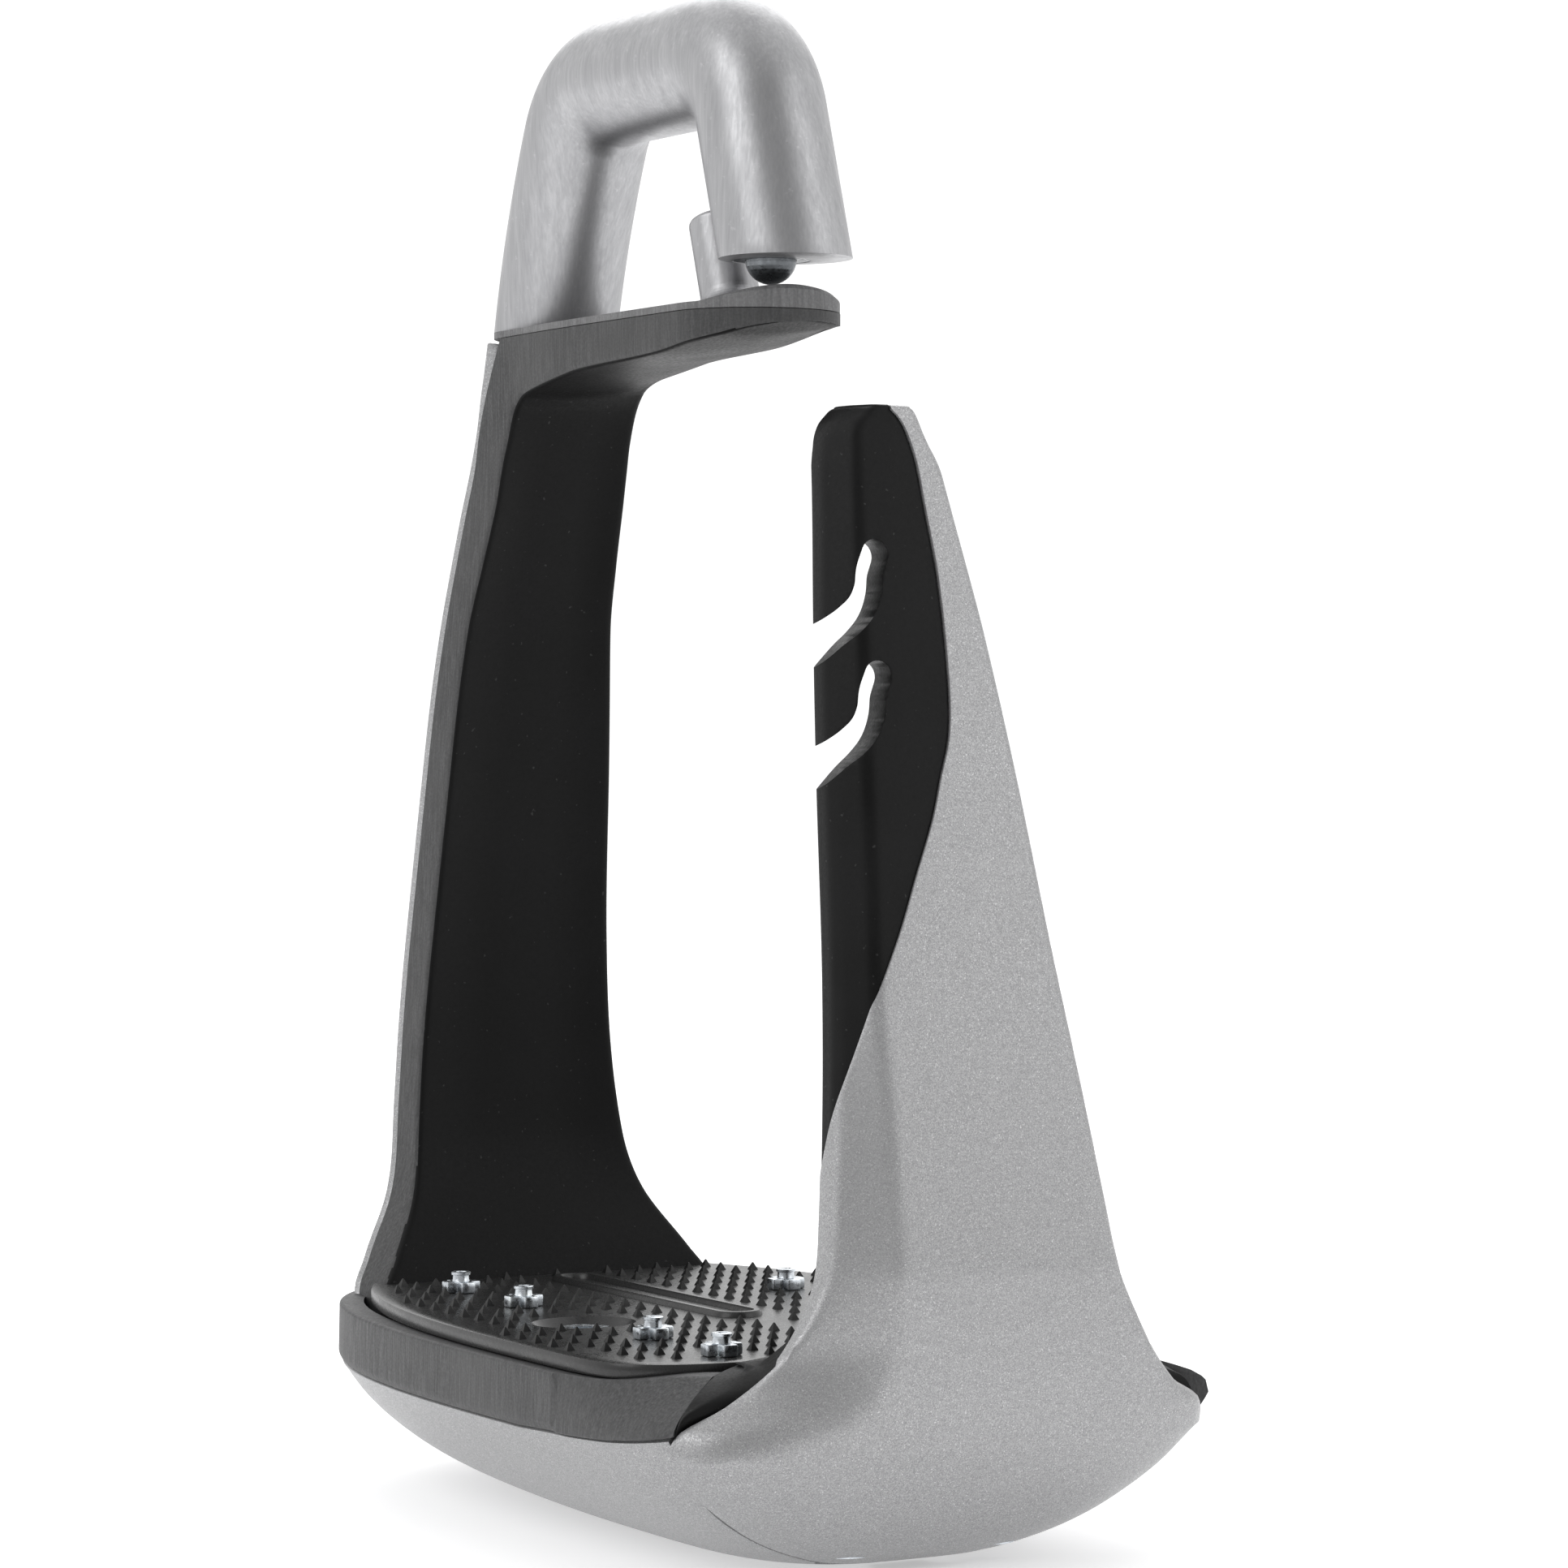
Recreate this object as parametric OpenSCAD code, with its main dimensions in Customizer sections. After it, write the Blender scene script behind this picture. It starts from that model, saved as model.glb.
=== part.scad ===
// Flexible-arm safety stirrup iron, left foot.
// +X points to the outer (releasing) arm, -Y to the toe side, +Z up.
// The origin is on the ground, under the middle of the bounding box. Millimetres.

/* [Foot bed] */
// Half depth of the foot bed band, toe to heel
bed_b = 38.5; // [35:0.5:40]
// How far the bed reaches to the inner side
bed_in = 65.6; // [64:0.2:66]
// How far the bed reaches to the outer side
bed_out = 64.2; // [63:0.2:65]
// Height of the seam between base shell and band
seam_z = 15.6; // [14:0.2:17]
// Height of the band's top edge
band_z = 23.2; // [22:0.2:24]
// Height of the tread pad's face
pad_z = 25.4; // [25:0.2:26]
// Thickness of the tread pad
pad_t = 4; // [3:0.5:5]

/* [Grip] */
// Height of one grip cone
spike_h = 1.1; // [0.6:0.1:1.4]
// Base radius of one grip cone
spike_r = 0.85; // [0.6:0.05:1]
// Distance between grip cones in a row
spike_pitch = 8.2; // [7:0.2:10]
// Width across a stud's cross head
stud_w = 4.8; // [4:0.2:5.4]

/* [Arms] */
// Half width of the inner arm at its waist
in_w = 9.5; // [9:0.1:10.5]
// Thickness of the outer arm
blade_t = 7.7; // [7.2:0.1:8]
// Thickness of the outer arm's metal cover
cover_t = 2.3; // [2:0.1:2.6]
// Height of the flex line of the outer arm
flex_z = 37; // [36:0.5:38]
// Furthest the outer arm flexes outward, degrees
flex_max = 30; // [15:1:32]
// Width of the grooves in the outer arm
groove_w = 4.4; // [3.6:0.1:4.6]

/* [Head] */
// Height of the head's deck plate, top face
deck_z = 153.1; // [152:0.1:154]
// Half width of the head's deck
deck_w = 11; // [10:0.1:11.4]
// Diameter of the hook's round bar
bar_d = 16.6; // [15:0.1:17]
// Diameter of the strap peg
peg_d = 7.6; // [7:0.1:8]
// Lean of the strap peg, degrees
peg_lean = 18; // [12:1:22]
// Diameter of the sprung catch pin
pin_d = 6.5; // [6:0.1:6.8]
// Travel of the sprung catch pin
pin_travel = 2.8; // [2:0.1:3]

/* [Hidden] */
$fn = 64;
e = 0.01;
gap = 0.3;
hinge_x = 62.05;
hinge_r = blade_t / 2;
foot_top = 139;
catch_x = 15.2;
tip_z = 158.4;
bed_c = 20;
silver = [0.72, 0.72, 0.73];
dark = [0.11, 0.11, 0.12];
grey = [0.3, 0.3, 0.31];
steel = [0.62, 0.64, 0.66];
brass = [0.75, 0.6, 0.3];
// studs: [x, y], four on the toe side and three on the heel side
stud_at = [[-33, -19.5], [-14.8, -19.5], [22, -20.5], [40, -21], [-14.8, 19.5], [22, 20.5], [40, 21]];
// wells of the two pad screws: [x, y] on the heel side
well = [3.6, 20.4];

// smooth curve through [t, value] knots
function seg(k, t, i = 0) = i >= len(k) - 2 || t < k[i + 1][0] ? i : seg(k, t, i + 1);
function tan_at(k, i) = i == 0 ? (k[1][1] - k[0][1]) / (k[1][0] - k[0][0])
  : i == len(k) - 1 ? (k[i][1] - k[i - 1][1]) / (k[i][0] - k[i - 1][0])
  : (k[i + 1][1] - k[i - 1][1]) / (k[i + 1][0] - k[i - 1][0]);
function curve(k, t) = let (i = seg(k, t), h = k[i + 1][0] - k[i][0], u = (t - k[i][0]) / h)
  (2 * u ^ 3 - 3 * u ^ 2 + 1) * k[i][1] + (u ^ 3 - 2 * u ^ 2 + u) * h * tan_at(k, i)
  + (3 * u ^ 2 - 2 * u ^ 3) * k[i + 1][1] + (u ^ 3 - u ^ 2) * h * tan_at(k, i + 1);

// inner face of the outer arm, and its half width, by height
function out_x(z) = curve([[14, 54.2], [20, 56], [27, 57.9], [36, 58.2], [56, 54.7], [82, 49],
  [111, 42.2], [138, 35.2]], z);
function out_w(z) = curve([[14, 37], [19, 35.6], [22, 30], [27, 24.2], [35, 19.6], [43, 18],
  [70, 14.5], [95, 12], [112, 10], [127, 7.9], [134, 7]], z);
// inner face of the inner arm, and its half width, by height
function in_x(z) = curve([[14, -45], [24, -45], [28, -46.6], [36, -51], [44, -53.5], [57, -54.6],
  [72, -53.6], [90, -51.2], [113, -47.8], [127, -44], [139, -37.2], [146, -33]], z);
function in_wid(z) = curve([[14, 26], [24, 25], [28, 22.6], [36, 17.8], [44, 15.9], [70, 13.7],
  [103, 11.9], [126, 10.1], [139, in_w], [150, in_w]], z);

// loft over rings of equal length, closed at both ends
module loft(rings) {
  n = len(rings[0]);
  m = len(rings);
  polyhedron(points = [for (r = rings) each r],
    faces = concat([[for (i = [0:n - 1]) i]],
      [for (j = [0:m - 2]) for (i = [0:n - 1]) each
        [[j * n + i, (j + 1) * n + i, (j + 1) * n + (i + 1) % n],
         [j * n + i, (j + 1) * n + (i + 1) % n, j * n + (i + 1) % n]]],
      [[for (i = [n - 1:-1:0]) (m - 1) * n + i]]));
}

// ring of the outer arm: from x = a on the foot side to x = b, half widths w at the front and
// v at the back, edge thickness c at the front
function arm_ring(z, a, b, w, v, c) = let (d = b - a, k = min(1, w / 8))
  [for (p = [[0, -w + 1.6 * k], [0.25, -w + 0.8 * k], [0.8, -w + 0.25 * k], [1.6, -w],
    [c, -w], [c + 0.28 * (d - c), -w + 0.3], [d - 0.35, -w * 0.72], [d, -w * 0.62],
    [d, 0], [d, v - 2 * k], [d - 0.6, v - 0.6], [d - 2, v], [c, v],
    [1.6, v], [0.8, v - 0.25 * k], [0.25, v - 0.8 * k], [0, v - 1.6 * k], [0, 0]])
    [a + p[0], p[1], z]];

// ring of the bed hull: super-ellipse with its own inner and outer reach
function hull_ring(z, xl, xr, b, nl = 2.7, nr = 4, n = 56) = [for (i = [0:n - 1])
  let (t = 360 * i / n, c = cos(t), s = sin(t), q = c < 0 ? nl : nr, a = c < 0 ? bed_c + xl : xr - bed_c)
  [bed_c + a * sign(c) * abs(c) ^ (2 / q), b * sign(s) * abs(s) ^ (2 / q), z]];
// hull levels: height, inner reach, outer reach, half depth, squareness of the outer end
hull_at = [[0, 4, 45, 14.5, 3], [0.7, 18, 49.5, 18.5, 3.2], [2.6, 40, 54.5, 23.2, 3.5], [5, 52, 58, 27.4, 4],
  [8, 59, 60.6, 31.2, 4.6], [11.5, 63, 62.6, 34.8, 5.3], [seam_z, bed_in, bed_out, 37.9, 6]];
module hull_solid(inset = 0, lift = 0) {
  loft([for (h = hull_at) hull_ring(h[0] + lift * (1 - h[0] / seam_z), h[1] - inset, h[2] - inset,
    h[3] - inset, 2.7, h[4])]);
}
module bed_prism(z0, z1, inset, xr = bed_out, nr = 6) {
  translate([0, 0, z0]) linear_extrude(z1 - z0)
    polygon([for (p = hull_ring(0, bed_in - inset, xr - inset, bed_b - inset, 2.7, nr, 72)) [p[0], p[1]]]);
}

// ---- outer arm ----
arm_z = [30, 34, 38, 43, 50, 58, 66, 74, 82, 90, 98, 106, 114, 122, 129, 134, 136.6, 138.2, 139];
function tip_w(z) = out_w(min(z, 134)) - (z > 134 ? 2.6 * (1 - sqrt(max(0, 1 - ((z - 134) / 5) ^ 2))) : 0);
function back_less(z) = z < 118 ? 0 : curve([[118, 0], [124, 0.3], [128, 0.8], [132, 1.5], [136, 2.3], [139, 3]], z);
module blade(a = 0, b = blade_t, edge = 3.6) {
  loft([for (z = arm_z) arm_ring(z, out_x(z) + a, out_x(z) + b, tip_w(z), tip_w(z) - back_less(z), edge - a)]);
}
// everything below the flex line, less the arm's round knuckle
module fixed_side() {
  difference() {
    translate([20, -50, 0]) cube([80, 100, flex_z]);
    translate([hinge_x, 60, flex_z]) rotate([90, 0, 0]) cylinder(r = hinge_r, h = 120);
  }
}
// space the moving knuckle sweeps in the fixed foot
module fixed_cut() {
  translate([hinge_x, 60, flex_z]) rotate([90, 0, 0]) cylinder(r = hinge_r + gap, h = 120);
  translate([hinge_x, 60, flex_z]) rotate([90, 0, 0]) linear_extrude(120)
    polygon([[-12, 20], [-12, -e], [0, -e], [20 * cos(flex_max + 6), -20 * sin(flex_max + 6)], [20, 20]]);
}
// area of the outer face that the metal cover takes, in Y and Z
module cover_area(d = 0) {
  translate([30, 0, 0]) rotate([90, 0, 90]) linear_extrude(60)
    polygon([[60, 20], [60, 150], [3.2 - d, 150], [4.1 - d, 132], [4.4 - d, 118], [4 - d, 106],
      [3.1 - d, 99.3], [1.1 - d, 94], [-3.9 - d, 82.6], [-9.9 - d, 71], [-15.6 - d, 61.4],
      [-21 - d, 50], [-30, 40], [-60, 30], [-60, 20]]);
}
// one groove: a band of even width along a bent line, in Y and Z
groove_line = [[-19, 101.6], [-10.2, 110.2], [-7, 112.9], [-5.4, 114.6], [-4.5, 116.6], [-4.1, 118.8],
  [-3.3, 120.8]];
function side(l, i) = let (a = l[max(0, i - 1)], b = l[min(len(l) - 1, i + 1)], d = b - a)
  [-d[1], d[0]] / norm(d);
module groove(dz = 0, dy = 0) {
  n = len(groove_line) - 1;
  w = groove_w / 2;
  end = groove_line[n];
  translate([20, dy, dz]) rotate([90, 0, 90]) linear_extrude(70) union() {
    polygon(concat([for (i = [0:n]) groove_line[i] + side(groove_line, i) * w],
      [for (i = [n:-1:0]) groove_line[i] - side(groove_line, i) * w]));
    translate(end) circle(r = w * 0.995);
  }
}
// axis line of the spring leaf, leaning with the arm
leaf_lean = -12.6;
module on_leaf() {
  translate([out_x(43) + 4.05, 0, 43]) rotate([0, leaf_lean, 0]) children();
}
module leaf_void(c) {
  on_leaf() translate([-0.7 - c, -5 - c, -c]) cube([1.3 + 2 * c, 10 + 2 * c, 36 + 2 * c]);
}
leaf_holes = [8, 27];
module leaf_bores(r) {
  for (h = leaf_holes) on_leaf() translate([-2.6, 0, h]) rotate([0, 90, 0]) cylinder(r = r, h = 3.2);
}
// everything on the outer side of a depth into the arm
module outer_layer(depth) {
  loft([for (z = arm_z) let (x = out_x(z)) [[x + depth, -60, z], [x + 25, -60, z], [x + 25, 60, z],
    [x + depth, 60, z]]]);
}
module outer_arm_liner() {
  color(dark) difference() {
    blade();
    intersection() {
      outer_layer(blade_t - cover_t - 0.05);
      cover_area(0.15);
    }
    fixed_side();
    groove();
    groove(-14.5, -0.7);
    on_leaf() translate([-0.75, -5.1, -0.1]) cube([4, 10.2, 36.2]);
    leaf_bores(1.5);
  }
}
module outer_arm_cover() {
  color(silver) difference() {
    intersection() {
      blade();
      outer_layer(blade_t - cover_t);
      cover_area();
    }
    fixed_side();
    on_leaf() translate([-0.75, -5.1, -0.1]) cube([1.9, 10.2, 36.2]);
  }
}
module spring_leaf() {
  color(steel) difference() {
    on_leaf() translate([-0.6, -5, 0]) cube([1.2, 10, 36]);
    leaf_bores(1.5);
  }
}
module leaf_rivet(i) {
  color(steel) on_leaf() translate([0, 0, leaf_holes[i]]) rotate([0, 90, 0]) {
    translate([0, 0, -2.5]) cylinder(r = 1.48, h = 3.2);
    translate([0, 0, 0.62]) cylinder(r = 2.4, h = 0.4);
  }
}

// ---- foot of the outer arm ----
foot_rings = [seam_z + 0.1, 17, 19, 21.3, 22.3, 23.4, 24.6, 26, 28, 31, 34.5, 38];
function foot_out(z) = curve([[10, 62.2], [16, 64.2], [22, 65.3], [30, 65.8], [38, 65.9]], z);
function foot_in(z) = out_x(z) - (z < 28 ? 9.7 * ((28 - max(z, 21.3)) / 6.7) ^ 2.2 : 0);
// half width of the foot at x: the arm's own width, rounded off to the bed's outline
function foot_y(z, x, a, r) = let (q = max(0, (x - a - 3.6) / (r - a - 3.6)))
  min(out_w(z) * (1 - 0.3 * q ^ 1.5), 38.2 * (1 - ((x - bed_c) / (r + 0.7 - bed_c)) ^ 6) ^ (1 / 6));
module foot_block(t) {
  n = 8;
  loft([for (z = foot_rings) let (a = max(46.4, foot_in(z)), r = foot_out(z) - t,
    xs = [for (i = [0:n]) a + (r - a) * sin(90 * i / n)])
    concat([for (x = xs) [x, -foot_y(z, x, a, r), z]], [for (i = [n:-1:0]) [xs[i], foot_y(z, xs[i], a, r), z]])]);
}
module foot_liner() {
  color(dark) difference() {
    foot_block(2.6);
    fixed_cut();
    for (s = [-1, 1]) translate([50, 10 * s, 12]) cylinder(r = 2.02, h = 8.2);
  }
}
module foot_plate() {
  color(steel) difference() {
    translate([35, -18.2, 13.2]) cube([24, 36.4, 2.35]);
    for (s = [-1, 1]) translate([50, 10 * s, 12]) cylinder(r = 2.02, h = 8.2);
  }
}
module foot_cover() {
  color(silver) difference() {
    foot_block(0);
    loft([for (z = [10, 14, 18, 22, 26, 30, 34, 40]) let (x = foot_out(z) - 2.4) [[x - 40, -60, z], [x, -60, z],
      [x, 60, z], [x - 40, 60, z]]]);
    fixed_cut();
  }
}
module arm_bolt(s) {
  color(steel) translate([50, 10 * s, 0]) {
    translate([0, 0, 2.2]) cylinder(r = 3.4, h = 2);
    translate([0, 0, 4.1]) cylinder(r = 1.98, h = 15.9);
  }
}

// ---- base ----
module bottom_bores(head, shank) {
  for (p = [[50, -10], [50, 10], [-30, 0], [14, 0]]) translate([p[0], p[1], -1]) {
    cylinder(r = head, h = 4.4 + (p[0] < 0 ? 3 : p[0] > 40 ? 0.8 : 0));
    cylinder(r = shank, h = 17);
  }
}
module base_shell() {
  color(silver) difference() {
    hull_solid();
    hull_solid(2.2, 2.3);
    translate([-80, -60, seam_z - 0.1]) cube([160, 120, 2]);
    bottom_bores(3.5, 2.1);
  }
}
module base_screw(i) {
  x = [-30, 14][i];
  z = [4.4, 1.4][i];
  color(steel) translate([x, 0, z]) {
    difference() {
      cylinder(r = 3.4, h = 2);
      translate([0, 0, -1]) cylinder(r = 1.7, h = 2, $fn = 6);
    }
    translate([0, 0, 1.9]) cylinder(r = 1.98, h = 9);
  }
}

// ---- inner arm and core ----
core_z = [21.35, 24, 28, 32, 36, 40, 44, 50, 57, 65, 73, 82, 91, 100, 109, 118, 127, 134, 139];
cover_z = [15.7, 18, 21.35, 24, 28, 32, 36, 40, 44, 50, 57, 65, 73, 82, 91, 100, 109, 118, 127, 134, 139, 143,
  147, deck_z - 1.2];
// outer face of the inner arm along its middle, and how far its edges fall back
function in_o(z) = curve([[14, -65.5], [30, -65.8], [40, -65.2], [50, -64.9], [60, -64.7], [72, -63.8],
  [90, -61.4], [113, -58], [127, -54.5], [139, -50.4], [146, -50.4], [153, -51.6]], z);
function in_fall(z) = curve([[14, 14.4], [24, 11], [32, 7], [40, 4], [50, 2.2], [70, 1.5], [153, 1.1]], z);
// ring between two faces whose edges fall back by f, half width w
function back_ring(z, a, b, w, fa, fb) = let (ys = [-1, -0.85, -0.6, -0.3, 0, 0.3, 0.6, 0.85, 1]) concat(
  [for (y = ys) [b + fb * abs(y) ^ 2.2, -y * w, z]], [for (y = ys) [a + fa * abs(y) ^ 2.2, y * w, z]]);
module inner_arm_core() {
  color(dark) difference() {
    loft([for (z = core_z) back_ring(z, in_x(z), in_o(z) + arm_cover_t + 0.3, in_wid(z), 0.7, in_fall(z))]);
    for (s = [-1, 1]) translate([-54, 9 * s, 20]) cylinder(r = 1.98, h = 9);
    translate([-44.5, 0, 133]) cylinder(r = 2, h = 9);
  }
}
arm_cover_t = 2.4;
module platform_core() {
  color(dark) difference() {
    union() {
      hull_solid(2.3, 2.4);
      bed_prism(seam_z - 0.3, 21.3, 3.6);
    }
    translate([34.9, -18.3, 13.1]) cube([40, 36.6, 2.5]);
    translate([46.2, -50, seam_z - 0.01]) cube([30, 100, 12]);
    for (i = [0:6]) translate([stud_at[i][0], stud_at[i][1], 13]) cylinder(r = 2.55, h = 12);
    for (s = [-1, 1]) translate([well[0], well[1] * s, 12]) cylinder(r = 1.6, h = 12);
    for (s = [-1, 1]) translate([-54, 9 * s, 0]) {
      cylinder(r = 2.1, h = 30);
      cylinder(r = 3.6, h = 14.4);
    }
    bottom_bores(3.5, 2.02);
  }
}
module root_screw(s) {
  color(steel) translate([-54, 9 * s, 0]) {
    translate([0, 0, 12.3]) cylinder(r = 3.4, h = 2);
    translate([0, 0, 14.2]) cylinder(r = 1.95, h = 14.6);
  }
}
// head block: deck with a tapering underside and a round outer end
function arc_xz(x, z, r, a0, a1, n = 8) = [for (i = [0:n]) let (a = a0 + (a1 - a0) * i / n)
  [x + r * cos(a), z + r * sin(a)]];
module head_block() {
  color(dark) difference() {
    intersection() {
      translate([0, 40, 0]) rotate([90, 0, 0]) linear_extrude(80)
        polygon(concat([[-47.6, deck_z - 1.1], [22, deck_z - 1.1], [22, deck_z - 2.8], [19.5, deck_z - 3.8],
          [17, deck_z - 5], [12, deck_z - 5.9], [3.4, deck_z - 6.7], [-14, deck_z - 7.6]],
          arc_xz(-28, 136.2, 8.6, 90, 150), [[-37.15, 139.05], [-46.75, 139.05], [-46.75, 146]]));
      translate([0, 0, 130]) linear_extrude(30) union() {
        polygon([[-52, -9.4], [-40, -9.6], [-22, -deck_w + 0.3], [10.7, -deck_w],
          [10.7, deck_w], [-22, deck_w - 0.3], [-40, 9.6], [-52, 9.4]]);
        translate([10.7, 0]) circle(r = deck_w);
      }
    }
    translate([-44.5, 0, 130]) cylinder(r = 2.1, h = 30);
    // moulded round the heads of the two screws
    translate([-26, 0, 146.9]) cylinder(r = 2.1, h = 10);
    translate([-26, 0, 146.9]) cylinder(r = 3.6, h = 2.3);
    translate([5.6, 0, 148.3]) cylinder(r = 2.02, h = 10);
    translate([5.6, 0, 148.3]) cylinder(r = 3.5, h = 1.9);
  }
}
module inner_arm_cover() {
  color(silver) loft([for (z = cover_z) back_ring(z, in_o(z) + arm_cover_t, in_o(z),
    z < 139 ? in_wid(z) - 0.2 : 9.3, in_fall(z), in_fall(z))]);
}

// ---- head ----
// hook path as [length, bend radius, turn in degrees], from the deck to the tip
hook_path = [[3, 0, 0], [0, 125, 12], [0.6, 0, 0], [0, 11.3, 65], [26, 0, 0], [0, 11.7, 72], [23, 0, 0]];
module hook_run(i = 0, r = bar_d / 2) {
  if (i < len(hook_path)) {
    p = hook_path[i];
    if (p[2] == 0) {
      translate([0, 0, -0.05]) cylinder(r = r - 0.02, h = p[0] + 0.1);
      translate([0, 0, p[0]]) hook_run(i + 1, r);
    } else {
      translate([p[1], 0, 0]) rotate([90, 0, 0]) rotate([0, 0, 180 - p[2]])
        rotate_extrude(angle = p[2]) translate([p[1], 0]) circle(r = r);
      translate([p[1] * (1 - cos(p[2])), 0, p[1] * sin(p[2])]) rotate([0, p[2], 0]) hook_run(i + 1, r);
    }
  }
}
hook_x = -43.3;
module hook_bar() {
  color(silver) difference() {
    translate([hook_x, 0, deck_z + 0.2]) rotate([0, 13, 0]) translate([0, 0, -3]) hook_run();
    translate([-80, -20, 100]) cube([90, 40, deck_z - 100 + 0.02]);
    translate([0, -20, 100]) cube([60, 40, tip_z - 100]);
    translate([catch_x, 0, 150]) cylinder(r = 5, h = 22);
    translate([-44.5, 0, 140]) cylinder(r = 2, h = 21);
  }
}
module deck_plate() {
  color(silver) difference() {
    union() {
      translate([0, 0, deck_z - 1.08]) linear_extrude(1.08) union() {
        polygon([[-50, -deck_w + 2], [-40, -deck_w + 1.4], [-22, -deck_w + 0.5], [10.7, -deck_w + 0.2],
          [10.7, deck_w - 0.2], [-22, deck_w - 0.5], [-40, deck_w - 1.4], [-50, deck_w - 2]]);
        translate([10.7, 0]) circle(r = deck_w - 0.2);
      }
      translate([10.7, 0, deck_z - 0.5]) rotate([0, 0, -90]) rotate_extrude(angle = 180)
        polygon([[deck_w - 2.7, 0], [deck_w - 0.2, 0], [deck_w - 0.2, 1.6], [deck_w - 0.6, 2.2],
          [deck_w - 1.2, 2.5], [deck_w - 1.9, 2.3], [deck_w - 2.5, 1.5]]);
    }
    translate([-44.5, 0, 140]) cylinder(r = 2.1, h = 20);
    translate([-26, 0, 140]) cylinder(r = 2.1, h = 20);
    translate([5.6, 0, 140]) cylinder(r = 2.1, h = 20);
  }
}
module hook_screw(i) {
  color(steel) if (i == 0) translate([-44.5, 0, 133.2]) cylinder(r = 1.95, h = 27); else translate([-26, 0, 0]) {
    translate([0, 0, 147]) cylinder(r = 3.4, h = 2.1);
    translate([0, 0, 149]) cylinder(r = 1.98, h = deck_z - 149 - 0.1);
  }
}
module strap_peg() {
  color(silver) difference() {
    intersection() {
      translate([5.4, 0, deck_z]) rotate([0, -peg_lean, 0]) rotate_extrude()
        polygon(concat([[0, -4], [peg_d / 2 + 1.4, -4]], arc_xz(peg_d / 2 + 2.2, 2.2, 2.2, 249, 180, 6),
          arc_xz(peg_d / 2 - 0.9, 11.6, 0.9, 0, 90, 4), [[0, 12.5]]));
      translate([-20, -20, deck_z + 0.02]) cube([40, 40, 30]);
    }
    translate([5.6, 0, 140]) cylinder(r = 2, h = 17.5);
  }
}
module peg_screw() {
  color(steel) translate([5.6, 0, 0]) {
    translate([0, 0, 148.4]) cylinder(r = 3.3, h = 1.7);
    translate([0, 0, 150]) cylinder(r = 1.98, h = 7.2);
  }
}
module catch_sleeve() {
  color(steel) translate([catch_x, 0, 0]) difference() {
    translate([0, 0, tip_z + 0.05]) cylinder(r = 4.98, h = 13.3);
    translate([0, 0, tip_z - 1]) cylinder(r = pin_d / 2 + 0.05, h = 4);
    translate([0, 0, tip_z + 2]) cylinder(r = 4.15, h = 12);
  }
}
module catch_pin() {
  r = pin_d / 2;
  color(steel) translate([catch_x, 0, 0]) rotate_extrude()
    polygon(concat([for (i = [0:10]) let (a = -90 + 9 * i) [r * cos(a), tip_z + 0.25 + r * sin(a)]],
      [[r, tip_z + 2.05], [4.1, tip_z + 2.05], [4.1, tip_z + 3.3], [0, tip_z + 3.3]]));
}
spring_z0 = tip_z + 3.35;
spring_z1 = tip_z + 13.3;
module catch_spring() {
  turns = 6;
  n = 14;
  r = 2.9;
  w = 0.38;
  h = spring_z1 - spring_z0 - 2 * w;
  color(steel) translate([catch_x, 0, spring_z0 + w]) loft([for (i = [0:turns * n])
    let (a = 360 * i / n, z = h * i / (turns * n))
    [for (j = [0:6]) let (b = -360 * j / 7) [(r + w * cos(b)) * cos(a), (r + w * cos(b)) * sin(a),
      z + w * sin(b)]]]);
}

// ---- tread ----
module tread_band() {
  color(grey) difference() {
    bed_prism(seam_z + 0.05, band_z, 0);
    bed_prism(seam_z - 1, band_z + 1, 3.4);
    translate([46.2, -60, 0]) cube([40, 120, 60]);
    inner_foot_space(0.1);
  }
}
module inner_foot_space(c) {
  loft([for (z = [14, 21.35, 24, 28]) let (x = in_x(z) + 0.7 + c, w = in_wid(z) + c)
    [[-90, -w, z], [x, -w, z], [x, w, z], [-90, w, z]]]);
}
module pad_outline(inset) {
  polygon([for (p = hull_ring(0, 63 - inset, 46 - inset, 36.8 - inset, 2.5, 5, 72)) [p[0], p[1]]]);
}
module tread_pad() {
  color([0.2, 0.2, 0.21]) difference() {
    union() {
      translate([0, 0, 21.35]) linear_extrude(band_z + 0.3 - 21.35) pad_outline(2);
      translate([0, 0, band_z + 0.25]) linear_extrude(pad_z - band_z - 0.25) pad_outline(0);
      grip_cones();
      // plain raised rail along the middle
      for (s = [-1, 1]) translate([-38, s * 2.2 - 0.6, pad_z - e]) cube([47, 1.2, 0.8]);
    }
    inner_foot_space(0.1);
    for (i = [0:6]) translate([stud_at[i][0], stud_at[i][1], 20]) cylinder(r = 1.55, h = 9);
    for (s = [-1, 1]) translate([well[0], well[1] * s, 0]) {
      translate([0, 0, 20]) cylinder(r = 1.6, h = 9);
      translate([0, 0, 23.2]) cylinder(r1 = 3.5, r2 = 6, h = 2.8);
    }
  }
}
function cone_ok(x, y) = ((x - bed_c) / (x < bed_c ? 78 : 24)) ^ 4 + (y / 32) ^ 2 < 1 && abs(y) > 5
  && x > -50 && min([for (p = stud_at) norm([x - p[0], y - p[1]])]) > 4.4
  && norm([x - well[0], abs(y) - well[1]]) > 7 && (x > -43 || abs(y) > 24);
module grip_cones() {
  for (j = [-8:8]) for (i = [-13:7]) let (x = i * spike_pitch / 2 * 2 + (j % 2 == 0 ? 0 : spike_pitch / 2),
    y = j * 3.9) if (cone_ok(x, y)) translate([x, y, pad_z - e])
    cylinder(r1 = spike_r, r2 = 0.15, h = spike_h, $fn = 16);
}
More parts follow.
